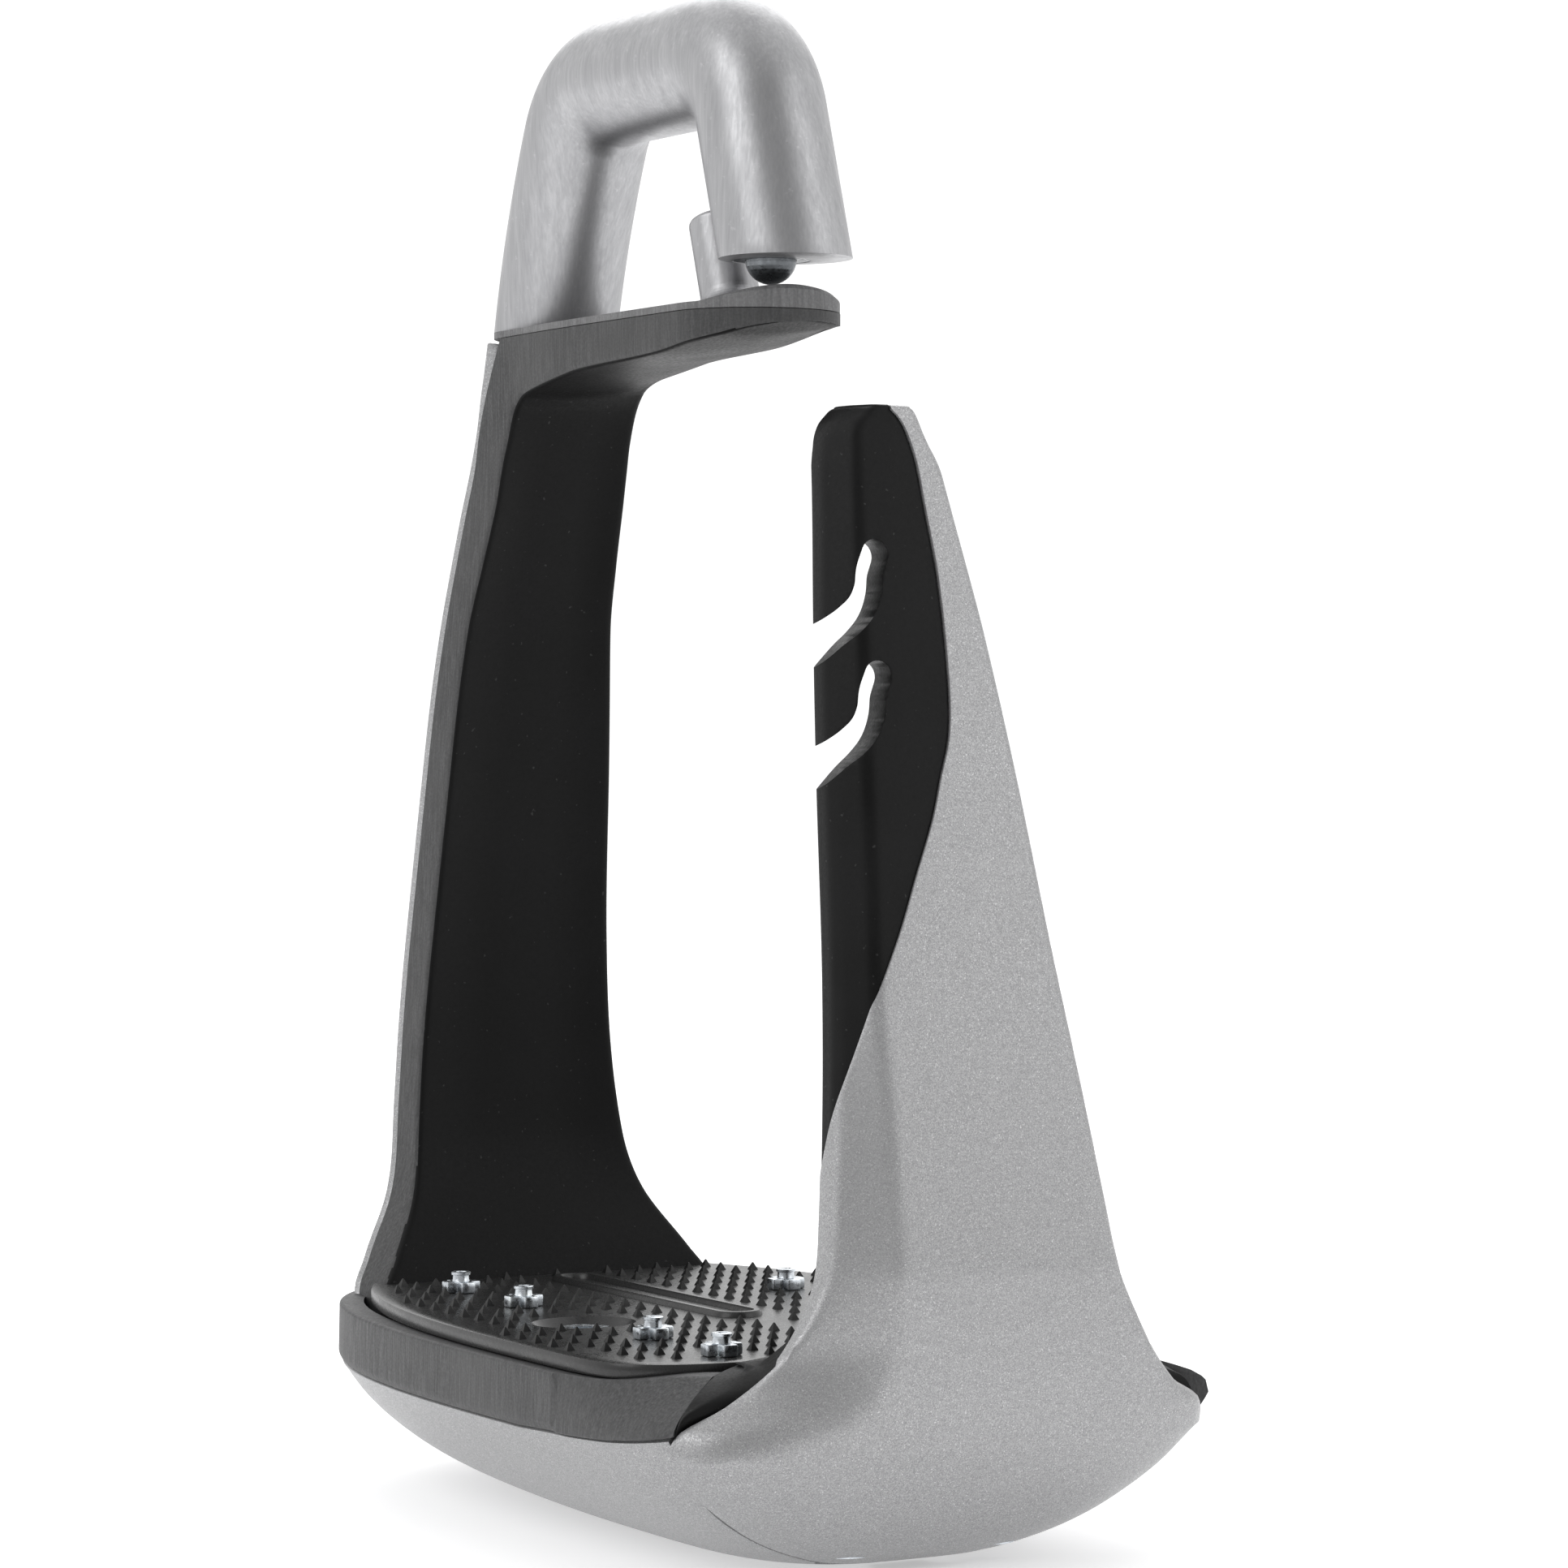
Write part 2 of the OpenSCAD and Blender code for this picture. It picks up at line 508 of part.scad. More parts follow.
module pad_screw(s) {
  color(steel) translate([well[0], well[1] * s, 0]) {
    translate([0, 0, 13]) cylinder(r = 1.58, h = 10.3);
    difference() {
      translate([0, 0, 23.22]) cylinder(r1 = 3.4, r2 = 3.4, h = 1.5);
      translate([0, 0, 24]) cylinder(r = 1.5, h = 2, $fn = 6);
    }
  }
}
module stud(i) {
  color(steel) translate([stud_at[i][0], stud_at[i][1], 0]) {
    translate([0, 0, 14.6]) cylinder(r = 1.48, h = pad_z - 14.5);
    difference() {
      translate([0, 0, pad_z + 0.02]) union() {
        translate([-stud_w / 2, -0.95, 0]) cube([stud_w, 1.9, 1.5]);
        translate([-0.95, -stud_w / 2, 0]) cube([1.9, stud_w, 1.5]);
        cylinder(r = 1.15, h = 2.7);
      }
    }
  }
}
module stud_insert(i) {
  color(brass) translate([stud_at[i][0], stud_at[i][1], 14]) difference() {
    cylinder(r = 2.5, h = 7.25);
    translate([0, 0, 0.6]) cylinder(r = 1.5, h = 10);
  }
}

platform_core();
inner_arm_core();
head_block();
inner_arm_cover();
base_shell();
foot_plate();
foot_liner();
foot_cover();
hook_bar();
hook_screw(0);  // hook_screw_1
hook_screw(1);  // hook_screw_2
deck_plate();
strap_peg();
peg_screw();
catch_sleeve();
catch_spring();
catch_pin();
tread_band();
tread_pad();
pad_screw(-1);  // pad_screw_1
pad_screw(1);  // pad_screw_2
stud(0);  // stud_1
stud(1);  // stud_2
stud(2);  // stud_3
stud(3);  // stud_4
stud(4);  // stud_5
stud(5);  // stud_6
stud(6);  // stud_7
stud_insert(0);  // stud_insert_1
stud_insert(1);  // stud_insert_2
stud_insert(2);  // stud_insert_3
stud_insert(3);  // stud_insert_4
stud_insert(4);  // stud_insert_5
stud_insert(5);  // stud_insert_6
stud_insert(6);  // stud_insert_7
base_screw(0);  // base_screw_1
base_screw(1);  // base_screw_2
root_screw(-1);  // root_screw_1
root_screw(1);  // root_screw_2
arm_bolt(-1);  // arm_bolt_1
arm_bolt(1);  // arm_bolt_2
outer_arm_liner();
outer_arm_cover();
spring_leaf();
leaf_rivet(0);  // leaf_rivet_1
leaf_rivet(1);  // leaf_rivet_2
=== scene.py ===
import math
import bmesh
import bpy
import numpy as np
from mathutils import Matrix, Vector


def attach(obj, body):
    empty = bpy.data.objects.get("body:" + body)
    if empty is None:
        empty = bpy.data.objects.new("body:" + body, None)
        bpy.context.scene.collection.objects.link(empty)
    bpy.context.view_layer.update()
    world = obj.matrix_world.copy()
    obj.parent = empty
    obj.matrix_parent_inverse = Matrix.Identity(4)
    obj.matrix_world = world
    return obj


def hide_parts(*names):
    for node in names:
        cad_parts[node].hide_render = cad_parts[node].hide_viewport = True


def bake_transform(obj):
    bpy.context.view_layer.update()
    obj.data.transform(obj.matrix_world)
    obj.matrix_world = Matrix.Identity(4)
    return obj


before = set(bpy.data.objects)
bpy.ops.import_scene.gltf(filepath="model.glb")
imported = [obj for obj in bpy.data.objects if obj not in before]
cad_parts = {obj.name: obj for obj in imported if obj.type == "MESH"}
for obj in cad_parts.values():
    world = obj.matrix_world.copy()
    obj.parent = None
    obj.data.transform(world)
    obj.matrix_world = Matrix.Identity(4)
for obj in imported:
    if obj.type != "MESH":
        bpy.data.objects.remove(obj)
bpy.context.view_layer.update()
MM = 0.001
TURN = 2 * math.pi

# ------------------------------------------------------------------ shader nodes
def new_mat(name, base, rough, metal=0.0, spec=0.5):
    m = bpy.data.materials.new(name)
    m.use_nodes = True
    nt = m.node_tree
    b = nt.nodes["Principled BSDF"]
    b.inputs["Base Color"].default_value = (*base, 1)
    b.inputs["Roughness"].default_value = rough
    b.inputs["Metallic"].default_value = metal
    b.inputs["Specular IOR Level"].default_value = spec
    return m, nt, b

def tex_coord(nt, scale=(1, 1, 1), rot=(0, 0, 0)):
    c = nt.nodes.new("ShaderNodeTexCoord")
    mp = nt.nodes.new("ShaderNodeMapping")
    mp.inputs["Scale"].default_value = scale
    mp.inputs["Rotation"].default_value = rot
    nt.links.new(c.outputs["Object"], mp.inputs["Vector"])
    return mp.outputs["Vector"]

def noise(nt, vec, scale, detail=2.0, rough=0.5):
    n = nt.nodes.new("ShaderNodeTexNoise")
    n.inputs["Scale"].default_value = scale
    n.inputs["Detail"].default_value = detail
    n.inputs["Roughness"].default_value = rough
    nt.links.new(vec, n.inputs["Vector"])
    return n.outputs["Fac"]

def flakes(nt, vec, scale):
    """One random value for each cell of a Voronoi pattern."""
    n = nt.nodes.new("ShaderNodeTexVoronoi")
    n.inputs["Scale"].default_value = scale
    nt.links.new(vec, n.inputs["Vector"])
    sep = nt.nodes.new("ShaderNodeSeparateColor")
    nt.links.new(n.outputs["Color"], sep.inputs["Color"])
    return sep.outputs["Red"]

def ramp(nt, fac, stops):
    r = nt.nodes.new("ShaderNodeValToRGB")
    els = r.color_ramp.elements
    while len(els) < len(stops):
        els.new(0.5)
    for e, (p, c) in zip(els, stops):
        e.position = p
        e.color = (*c, 1)
    nt.links.new(fac, r.inputs["Fac"])
    return r.outputs["Color"]

def mix_col(nt, fac, a, colour):
    """The colour output a, mixed with a fixed colour by the factor output fac."""
    n = nt.nodes.new("ShaderNodeMix")
    n.data_type = "RGBA"
    ins = {s.name: s for s in n.inputs if s.type == "RGBA" or s.name == "Factor" and s.type == "VALUE"}
    nt.links.new(fac, ins["Factor"])
    nt.links.new(a, ins["A"])
    ins["B"].default_value = (*colour, 1)
    return [s for s in n.outputs if s.type == "RGBA"][0]

def math_node(nt, op, a, b):
    n = nt.nodes.new("ShaderNodeMath")
    n.operation = op
    for i, v in enumerate((a, b)):
        if hasattr(v, "links"):
            nt.links.new(v, n.inputs[i])
        else:
            n.inputs[i].default_value = v
    return n.outputs[0]

def weighted(nt, a, ka, b, kb):
    return math_node(nt, "ADD", math_node(nt, "MULTIPLY", a, ka), math_node(nt, "MULTIPLY", b, kb))

def map_range(nt, v, old, new):
    n = nt.nodes.new("ShaderNodeMapRange")
    for i, x in enumerate((*old, *new)):
        n.inputs[i + 1].default_value = x
    nt.links.new(v, n.inputs[0])
    return n.outputs[0]

def bump(nt, b, height, strength, dist):
    n = nt.nodes.new("ShaderNodeBump")
    n.inputs["Strength"].default_value = strength
    n.inputs["Distance"].default_value = dist
    nt.links.new(height, n.inputs["Height"])
    nt.links.new(n.outputs["Normal"], b.inputs["Normal"])

def wire(nt, b, colour, rough):
    nt.links.new(colour, b.inputs["Base Color"])
    nt.links.new(rough, b.inputs["Roughness"])

def grey(v, blue=1.0):
    return (v, v, v * blue)

# ------------------------------------------------------------------ materials
def mat_silver():
    """Lacquer with fine metal flakes."""
    m, nt, b = new_mat("silver_flake", (0.42, 0.42, 0.425), 0.42, metal=0.6)
    v = tex_coord(nt)
    k = weighted(nt, flakes(nt, v, 8500), 0.5, noise(nt, v, 6000, 2, 0.6), 0.5)
    clouds = map_range(nt, noise(nt, v, 60, 3, 0.5), (0.3, 0.7), (0.0, 0.12))
    col = ramp(nt, k, [(0.2, (0.27, 0.27, 0.275)), (0.5, (0.36, 0.36, 0.365)),
                       (0.72, (0.43, 0.43, 0.435)), (0.86, (0.8, 0.8, 0.81))])
    col = mix_col(nt, clouds, col, (0.36, 0.36, 0.365))
    wire(nt, b, col, map_range(nt, k, (0.2, 0.9), (0.5, 0.3)))
    bump(nt, b, k, 0.07, 0.00004)
    return m

def mat_bar():
    """Bare metal with fine lines along it and worn pale spots."""
    m, nt, b = new_mat("worn_bar", (0.42, 0.42, 0.43), 0.3, metal=1.0)
    fine = noise(nt, tex_coord(nt, (1, 1, 0.06)), 2600, 3, 0.6)
    long = noise(nt, tex_coord(nt, (1, 1, 0.12), (0, 0.25, 0)), 420, 4, 0.6)
    spot = noise(nt, tex_coord(nt), 900, 3, 0.7)
    k = weighted(nt, fine, 0.5, long, 0.5)
    col = ramp(nt, k, [(0.3, (0.34, 0.34, 0.35)), (0.5, (0.4, 0.4, 0.41)), (0.68, (0.47, 0.47, 0.48))])
    col = mix_col(nt, map_range(nt, spot, (0.62, 0.74), (0, 0.3)), col, (0.68, 0.68, 0.69))
    wire(nt, b, col, map_range(nt, k, (0.3, 0.7), (0.46, 0.34)))
    bump(nt, b, weighted(nt, k, 1.0, spot, 0.3), 0.16, 0.00008)
    return m

def mat_black(name, base, rough):
    """Moulded plastic with a fine grain and a few specks of dust."""
    m, nt, b = new_mat(name, grey(base), rough, spec=0.14)
    v = tex_coord(nt)
    grain = noise(nt, v, 2400, 3, 0.6)
    big = noise(nt, v, 90, 3, 0.5)
    dust = map_range(nt, noise(nt, v, 1500, 1, 0.4), (0.74, 0.8), (0, 0.08))
    col = ramp(nt, big, [(0.3, grey(base * 0.8)), (0.7, (base * 1.4, base * 1.4, base * 1.45))])
    col = mix_col(nt, dust, col, grey(0.3))
    wire(nt, b, col, map_range(nt, weighted(nt, grain, 1.0, big, 0.5), (0.5, 1.0), (rough - 0.08, rough + 0.12)))
    bump(nt, b, grain, 0.25, 0.00006)
    return m

def mat_band(name, base):
    """Brushed grey with upright streaks."""
    m, nt, b = new_mat(name, grey(base), 0.55, spec=0.3)
    grain = noise(nt, tex_coord(nt, (1, 1, 0.08)), 2400, 3, 0.65)
    fine = noise(nt, tex_coord(nt), 3200, 2, 0.6)
    clouds = map_range(nt, noise(nt, tex_coord(nt, (1, 1, 0.5)), 70, 3, 0.5), (0.35, 0.7), (0, 0.45))
    k = weighted(nt, grain, 0.6, fine, 0.4)
    col = ramp(nt, k, [(0.3, (base * 0.55, base * 0.55, base * 0.57)), (0.5, grey(base, 1.02)),
                       (0.72, (base * 1.8, base * 1.8, base * 1.85))])
    wire(nt, b, mix_col(nt, clouds, col, grey(base * 1.5)), map_range(nt, k, (0.3, 0.7), (0.62, 0.45)))
    bump(nt, b, k, 0.35, 0.00008)
    return m

def mat_rubber(name, base, rough):
    m, nt, b = new_mat(name, grey(base), rough, spec=0.45)
    v = tex_coord(nt)
    fine = noise(nt, v, 1800, 4, 0.6)
    k = weighted(nt, fine, 0.6, noise(nt, v, 120, 3, 0.5), 0.4)
    col = ramp(nt, k, [(0.3, grey(base * 0.7)), (0.55, grey(base)), (0.75, grey(base * 1.5))])
    wire(nt, b, col, map_range(nt, k, (0.3, 0.7), (rough + 0.08, rough - 0.1)))
    bump(nt, b, fine, 0.3, 0.00006)
    return m

def mat_metal(name, base, rough):
    m, nt, b = new_mat(name, base, rough, metal=1.0)
    v = tex_coord(nt)
    fine = noise(nt, v, 1500, 3, 0.6)
    dark = tuple(c * 0.7 for c in base)
    pale = tuple(min(1, c * 1.35) for c in base)
    col = ramp(nt, noise(nt, v, 400, 2, 0.5), [(0.32, dark), (0.55, base), (0.8, pale)])
    wire(nt, b, col, map_range(nt, fine, (0.3, 0.7), (rough - 0.08, rough + 0.15)))
    bump(nt, b, fine, 0.3, 0.00008)
    return m

SILVER = mat_silver()
BAR = mat_bar()
BLACK = mat_black("core_black", 0.0045, 0.48)
LINER = mat_black("liner_black", 0.0055, 0.42)
BAND = mat_band("band_grey", 0.06)
# painted sheen: a lighter grey that stands in for the bright room's reflection on the black piece's sides and the
# head's rim
PAINTED_SHEEN = mat_band("arm_side_painted_sheen", 0.044)
DECK = mat_band("deck_grey", 0.12)
PAD = mat_rubber("pad_rubber", 0.026, 0.3)
SPIKE = mat_rubber("spike_rubber", 0.008, 0.5)
ZINC = mat_metal("zinc_steel", (0.7, 0.74, 0.78), 0.24)
DARK_STEEL = mat_metal("catch_steel", (0.16, 0.17, 0.18), 0.3)
BRASS = mat_metal("insert_brass", (0.6, 0.42, 0.16), 0.35)

# ------------------------------------------------------------------ sizes and shape laws, in mm, as in the CAD
# Each law is a list of (place, value). Where nothing else is said, the place is the height z.
# outer arm: x of its inner face, half width, what its tip loses on each side, half width of its flat outer face
OUT_X = [(14, 54.2), (20, 56), (27, 57.9), (36, 58.2), (56, 54.7), (82, 49), (111, 42.2), (138, 35.2)]
OUT_W = [(14, 37), (19, 35.6), (22, 30), (27, 24.2), (35, 19.6), (43, 18), (70, 14.5), (95, 12), (112, 10),
         (127, 7.9), (134, 7)]
TIP_TOE = [(132, 0), (134.7, 0.45), (136.7, 1.4), (138, 2.7), (138.6, 3.5), (139.1, 4.8)]
TIP_HEEL = [(112, 0), (124, 0.15), (128, 0.2), (131.8, 0.4), (135.7, 1.7), (138.3, 2.6), (139.1, 3.6)]
CREASE = [(14, 15), (25, 12.4), (34, 11.9), (55, 11.2), (66, 11.2), (81, 9.9), (100, 8.2), (120, 6.2),
          (139, 4.0)]
# outer arm's foot: x of its outer face, and x of the metal's inner edge
FOOT_OUT = [(10, 62.2), (16, 64.2), (22, 65.3), (30, 65.8), (38, 65.9)]
EDGE_X = [(0.8, 49.0), (2.6, 50.6), (5, 51.9), (8, 53), (11.5, 54), (15.6, 55), (18.6, 55.8), (20, 56.5),
          (22, 57.4), (24, 58.3), (27, 59.6), (31, 60.9), (37, 61.4), (43, 60.6)]
# y of the metal's edge on the upper half of the outer arm, where the black liner shows beside it
COVER_Y = [(58, -30), (61.4, -15.6), (67.7, -11.7), (76.1, -7.0), (82.6, -3.9), (89.2, -0.7), (94, 1.1),
           (99.3, 3.1), (106, 4.0), (118, 4.4), (127, 3.9), (132, 3.6), (135.7, 2.8), (137.5, 1.9), (138.7, 0.9),
           (150, 0.0)]
# inner arm: x of its inner face, half width, x of its outer face, and how far that face falls back at its sides
IN_X = [(14, -45), (24, -45), (28, -46.6), (36, -51), (44, -53.5), (57, -54.6), (72, -53.6), (90, -51.2),
        (113, -47.8), (122, -44.7), (130, -41.7), (134.8, -40.3), (146, -37)]
IN_W = [(14, 26), (24, 25), (28, 22.6), (36, 17.8), (44, 15.9), (70, 13.7), (103, 11.9), (126, 10.1), (139, 9.5),
        (150, 9.5)]
IN_O = [(14, -65.5), (30, -65.8), (40, -65.2), (50, -64.9), (60, -64.7), (72, -63.8), (90, -61.4), (113, -58),
        (127, -54.5), (139, -50.4), (146, -50.4), (153, -51.6)]
IN_FALL = [(14, 14.4), (24, 11), (32, 7), (40, 4), (50, 2.2), (70, 1.5), (136, 1.3), (140, 1.6), (144.5, 2.8),
           (148.8, 4.7), (153, 6.8)]
# head: half width by x, and z of its underside by x
HEAD_W = [(-52, 9.4), (-40, 9.6), (-22, 10.7), (0, 10.95), (10.7, 11)]
UNDER = [(-30.3, 144.6), (-18.7, 146.1), (4.4, 147.1), (12, 147.9), (17, 148.7), (19.5, 149.5), (21.7, 150.2)]
HEAD_X, HEAD_R, HEAD_TOP, DECK_Z = 10.7, 11, 152.0, 153.1
# hull by z: reach of the inner end, reach of the outer end, half width, exponent of the outer end
HULL = [(0, 4, 45, 14.5, 3), (0.7, 18, 49.5, 18.5, 3.2), (2.6, 40, 54.5, 23.2, 3.5), (5, 52, 58, 27.4, 4),
        (8, 59, 60.6, 31.2, 4.6), (11.5, 63, 62.6, 34.8, 5.3), (15.6, 65.6, 64.2, 37.9, 6)]
HULL_N = 2.95
SEAM_RISE = [(20, 0), (27, 0.3), (33.6, 0.5), (41.8, 1.0), (48.6, 1.7), (54.7, 2.6), (56.2, 3.0)]
BED_C, SEAM_Z, BAND_Z, PAD_Z, BLADE_T = 20.0, 15.6, 23.2, 25.4, 7.7
# the tread's rim and the rubber pad, each with the reach of its two ends and its half width
RIM_L, RIM_R, RIM_B, RIM_N = 65.6, 64.2, 38.5, 6.0
PAD_L, PAD_R, PAD_B, PAD_NL, PAD_NR = 63, 46, 36.8, 2.5, 5
STUDS = [(-33, -19.5), (-14.8, -19.5), (22, -20.5), (40, -21), (-14.8, 19.5), (22, 20.5), (40, 21)]
WELLS = [(3.6, -20.4), (3.6, 20.4)]
WELL_LONG = 1.15
BASE_WELLS = [(50, -10, 4.2), (50, 10, 4.2), (-30, 0, 6.4), (14, 0, 3.4)]

def law(k, t):
    """Smooth curve through the points k, read at t."""
    i = 0
    while i < len(k) - 2 and t >= k[i + 1][0]:
        i += 1
    def tan(j):
        a, b = max(0, j - 1), min(len(k) - 1, j + 1)
        return (k[b][1] - k[a][1]) / (k[b][0] - k[a][0])
    h = k[i + 1][0] - k[i][0]
    u = (t - k[i][0]) / h
    return ((2 * u**3 - 3 * u**2 + 1) * k[i][1] + (u**3 - 2 * u**2 + u) * h * tan(i)
            + (3 * u**2 - 2 * u**3) * k[i + 1][1] + (u**3 - u**2) * h * tan(i + 1))

def column(table, i):
    return [(row[0], row[i]) for row in table]

def smooth(a, b, t):
    u = min(1.0, max(0.0, (t - a) / (b - a)))
    return u * u * (3 - 2 * u)

def out_x(z):
    return law(OUT_X, z)

def arm_w(z):
    return law(OUT_W, min(z, OUT_W[-1][0]))

def out_w(z):
    """Half width of the outer arm on the toe side."""
    return arm_w(z) - (law(TIP_TOE, z) if z > TIP_TOE[0][0] else 0)

def back_w(z):
    """Half width of the outer arm on the heel side."""
    return arm_w(z) + 0.3 * smooth(35, 60, z) - (law(TIP_HEEL, z) if z > TIP_HEEL[0][0] else 0)

def rise(x):
    """How far the seam under the band climbs towards the outer arm, on the toe side."""
    return law(SEAM_RISE, min(x, SEAM_RISE[-1][0])) if x > SEAM_RISE[0][0] else 0.0

def hull_at(z):
    return [law(column(HULL, i), z) for i in (1, 2, 3, 4)]

def hull_pt(t, xl, xr, b, nl, nr):
    """Point of an outline whose two ends have their own reach and exponent."""
    c, s = math.cos(t), math.sin(t)
    q, a = (nl, BED_C + xl) if c < 0 else (nr, xr - BED_C)
    return (BED_C + a * math.copysign(abs(c) ** (2 / q), c), b * math.copysign(abs(s) ** (2 / q), s))

def head_w(x):
    if x < HEAD_X:
        return law(HEAD_W, x)
    return math.sqrt(max(0.0, HEAD_R**2 - (x - HEAD_X) ** 2))

# ------------------------------------------------------------------ mesh helpers
def finish_normals(me, angle):
    me.polygons.foreach_set("use_smooth", [True] * len(me.polygons))
    me.set_sharp_from_angle(angle=math.radians(angle))
    me.update()

def make(name, verts, faces, mats, angle=35.0, face_mat=None):
    me = bpy.data.meshes.new(name)
    me.from_pydata([tuple(float(c) * MM for c in v) for v in verts], [], [tuple(f) for f in faces])
    me.validate()
    o = bpy.data.objects.new(name, me)
    bpy.context.scene.collection.objects.link(o)
    for m in mats:
        me.materials.append(m)
    bm = bmesh.new()
    bm.from_mesh(me)
    bmesh.ops.remove_doubles(bm, verts=bm.verts, dist=0.004 * MM)
    bmesh.ops.recalc_face_normals(bm, faces=bm.faces)
    bm.to_mesh(me)
    bm.free()
    if face_mat is not None:
        for p in me.polygons:
            p.material_index = face_mat(p)
    finish_normals(me, angle)
    return o

def grid(name, rows, mats, close=False, caps=(False, False), angle=35.0, face_mat=None):
    """Skin over rows of points. close joins each row's ends, and caps fill the first and last row."""
    nu, nv = len(rows), len(rows[0])
    faces = []
    for i in range(nu - 1):
        for j in range(nv if close else nv - 1):
            k = (j + 1) % nv
            faces.append((i * nv + j, (i + 1) * nv + j, (i + 1) * nv + k, i * nv + k))
    if caps[0]:
        faces.append(tuple(range(nv)))
    if caps[1]:
        faces.append(tuple((nu - 1) * nv + j for j in range(nv)))
    return make(name, [p for r in rows for p in r], faces, mats, angle, face_mat)

def loop_solid(name, sections, mats, angle=35.0):
    """Sections set round a closed loop, with one flat face over their first points and one over their last."""
    n, k = len(sections), len(sections[0])
    faces = []
    for i in range(n):
        a, b = i * k, (i + 1) % n * k
        faces += [(a + j, b + j, b + j + 1, a + j + 1) for j in range(k - 1)]
    faces += [tuple(i * k + j for i in range(n)) for j in (0, k - 1)]
    return make(name, [p for s in sections for p in s], faces, mats, angle)

def apply_mods(o, angle):
    dg = bpy.context.evaluated_depsgraph_get()
    me = bpy.data.meshes.new_from_object(o.evaluated_get(dg), preserve_all_data_layers=True, depsgraph=dg)
    o.modifiers.clear()
    old = o.data
    o.data = me
    bpy.data.meshes.remove(old)
    finish_normals(me, angle)

def bevel(o, width, limit, segments=2):
    b = o.modifiers.new("edge", "BEVEL")
    b.width = width * MM
    b.segments = segments
    b.limit_method = "ANGLE"
    b.angle_limit = math.radians(limit)
    b.use_clamp_overlap = True

def solidify(o, t, edge, inside=(0, 0, 70)):
    """Give a skin the thickness t on the side of the point inside, and round its edges."""
    me = o.data
    ref = Vector(inside) * MM
    if sum(p.area * p.normal.dot(p.center - ref) for p in me.polygons) < 0:
        me.flip_normals()
    s = o.modifiers.new("wall", "SOLIDIFY")
    s.thickness = t * MM
    s.offset = -1.0
    s.use_even_offset = False
    bevel(o, edge, 50)
    apply_mods(o, 32)

def cut(o, cutters, angle, edge=0.0, limit=40, segments=2):
    for c in cutters:
        m = o.modifiers.new("cut", "BOOLEAN")
        m.operation = "DIFFERENCE"
        m.solver = "EXACT"
        m.object = c
    if edge:
        bevel(o, edge, limit, segments)
    apply_mods(o, angle)
    for c in cutters:
        bpy.data.objects.remove(c, do_unlink=True)

def turns(n):
    return np.linspace(0, TURN, n, endpoint=False)

def cylinder(name, p0, p1, r, n=48):
    p0, p1 = np.array(p0, float), np.array(p1, float)
    d = (p1 - p0) / np.linalg.norm(p1 - p0)
    a = np.cross(d, [0, 1, 0] if abs(d[1]) < 0.9 else [1, 0, 0])
    a /= np.linalg.norm(a)
    b = np.cross(d, a)
    rows = [[p + r * (a * math.cos(t) + b * math.sin(t)) for t in turns(n)] for p in (p0, p1)]
    return grid(name, rows, [], True, (True, True))

def box(name, x0, x1, z1):
    """Cutter over a range of x, from well below up to z1."""
    rows = [[(x0, -20, z), (x1, -20, z), (x1, 20, z), (x0, 20, z)] for z in (100, z1)]
    return grid(name, rows, [], True, (True, True))

def round_path(pts, radii, n_arc, n_seg):
    """Open polyline with rounded corners and a fixed number of points."""
    P = [np.array(p, float) for p in pts]
    out = []
    start = P[0]
    for i in range(1, len(P) - 1):
        a, b = P[i - 1] - P[i], P[i + 1] - P[i]
        la, lb = np.linalg.norm(a), np.linalg.norm(b)
        r = min(radii[i - 1], la * 0.48, lb * 0.48)
        s, e = P[i] + a / la * r, P[i] + b / lb * r
        out += [start + (s - start) * t for t in np.linspace(0, 1, n_seg, endpoint=False)]
        out += [(1 - t) ** 2 * s + 2 * t * (1 - t) * P[i] + t * t * e
                for t in np.linspace(0, 1, n_arc, endpoint=False)]
        start = e
    out += [start + (P[-1] - start) * t for t in np.linspace(0, 1, n_seg)]
    return np.array(out)

def lengths(P):
    """Length along the path P up to each of its points."""
    return np.concatenate([[0], np.cumsum(np.linalg.norm(np.diff(P, axis=0), axis=1))])

def resample(P, n, t0=0.0, t1=1.0):
    d = lengths(P)
    s = np.linspace(t0, t1, n) * d[-1]
    return np.stack([np.interp(s, d, P[:, k]) for k in range(P.shape[1])], axis=1)

def spans(*parts):
    return np.concatenate([np.linspace(*p) for p in parts])

# ------------------------------------------------------------------ outer arm: its profile at each height
PROFILE_N = 161

def arm_edge(z):
    return law(EDGE_X, z) if z < 43 else out_x(z) + 3.3

def arm_face(z):
    """x of the outer arm's outer face."""
    if z < 34:
        return law(FOOT_OUT, z)
    if z > 42:
        return out_x(z) + BLADE_T
    return law([(34, 65.88), (37, 65.85), (42, out_x(42) + BLADE_T)], z)

def low_profile(z, inset):
    """Hull outline from the seam's toe end round the outer side to its heel end."""
    _, xr, b, nr = hull_at(min(z, SEAM_Z))
    if z > SEAM_Z:
        xr = arm_face(z)
    xe = min(arm_edge(z), xr - 0.3)
    f = (1 - ((xe - BED_C) / (xr - BED_C)) ** nr) ** (1 / nr)
    w = b * f if z <= SEAM_Z else out_w(z)
    b, xr = w / f - inset, xr - inset
    w -= inset
    ys = np.linspace(-w, w, 241)
    # closer points towards both ends
    ys = w * np.sign(ys) * (1 - (1 - np.abs(ys) / w) ** 1.6)
    xs = BED_C + (xr - BED_C) * np.clip(1 - np.abs(ys / b) ** nr, 0, 1) ** (1 / nr)
    return resample(np.stack([xs, ys], 1), PROFILE_N)

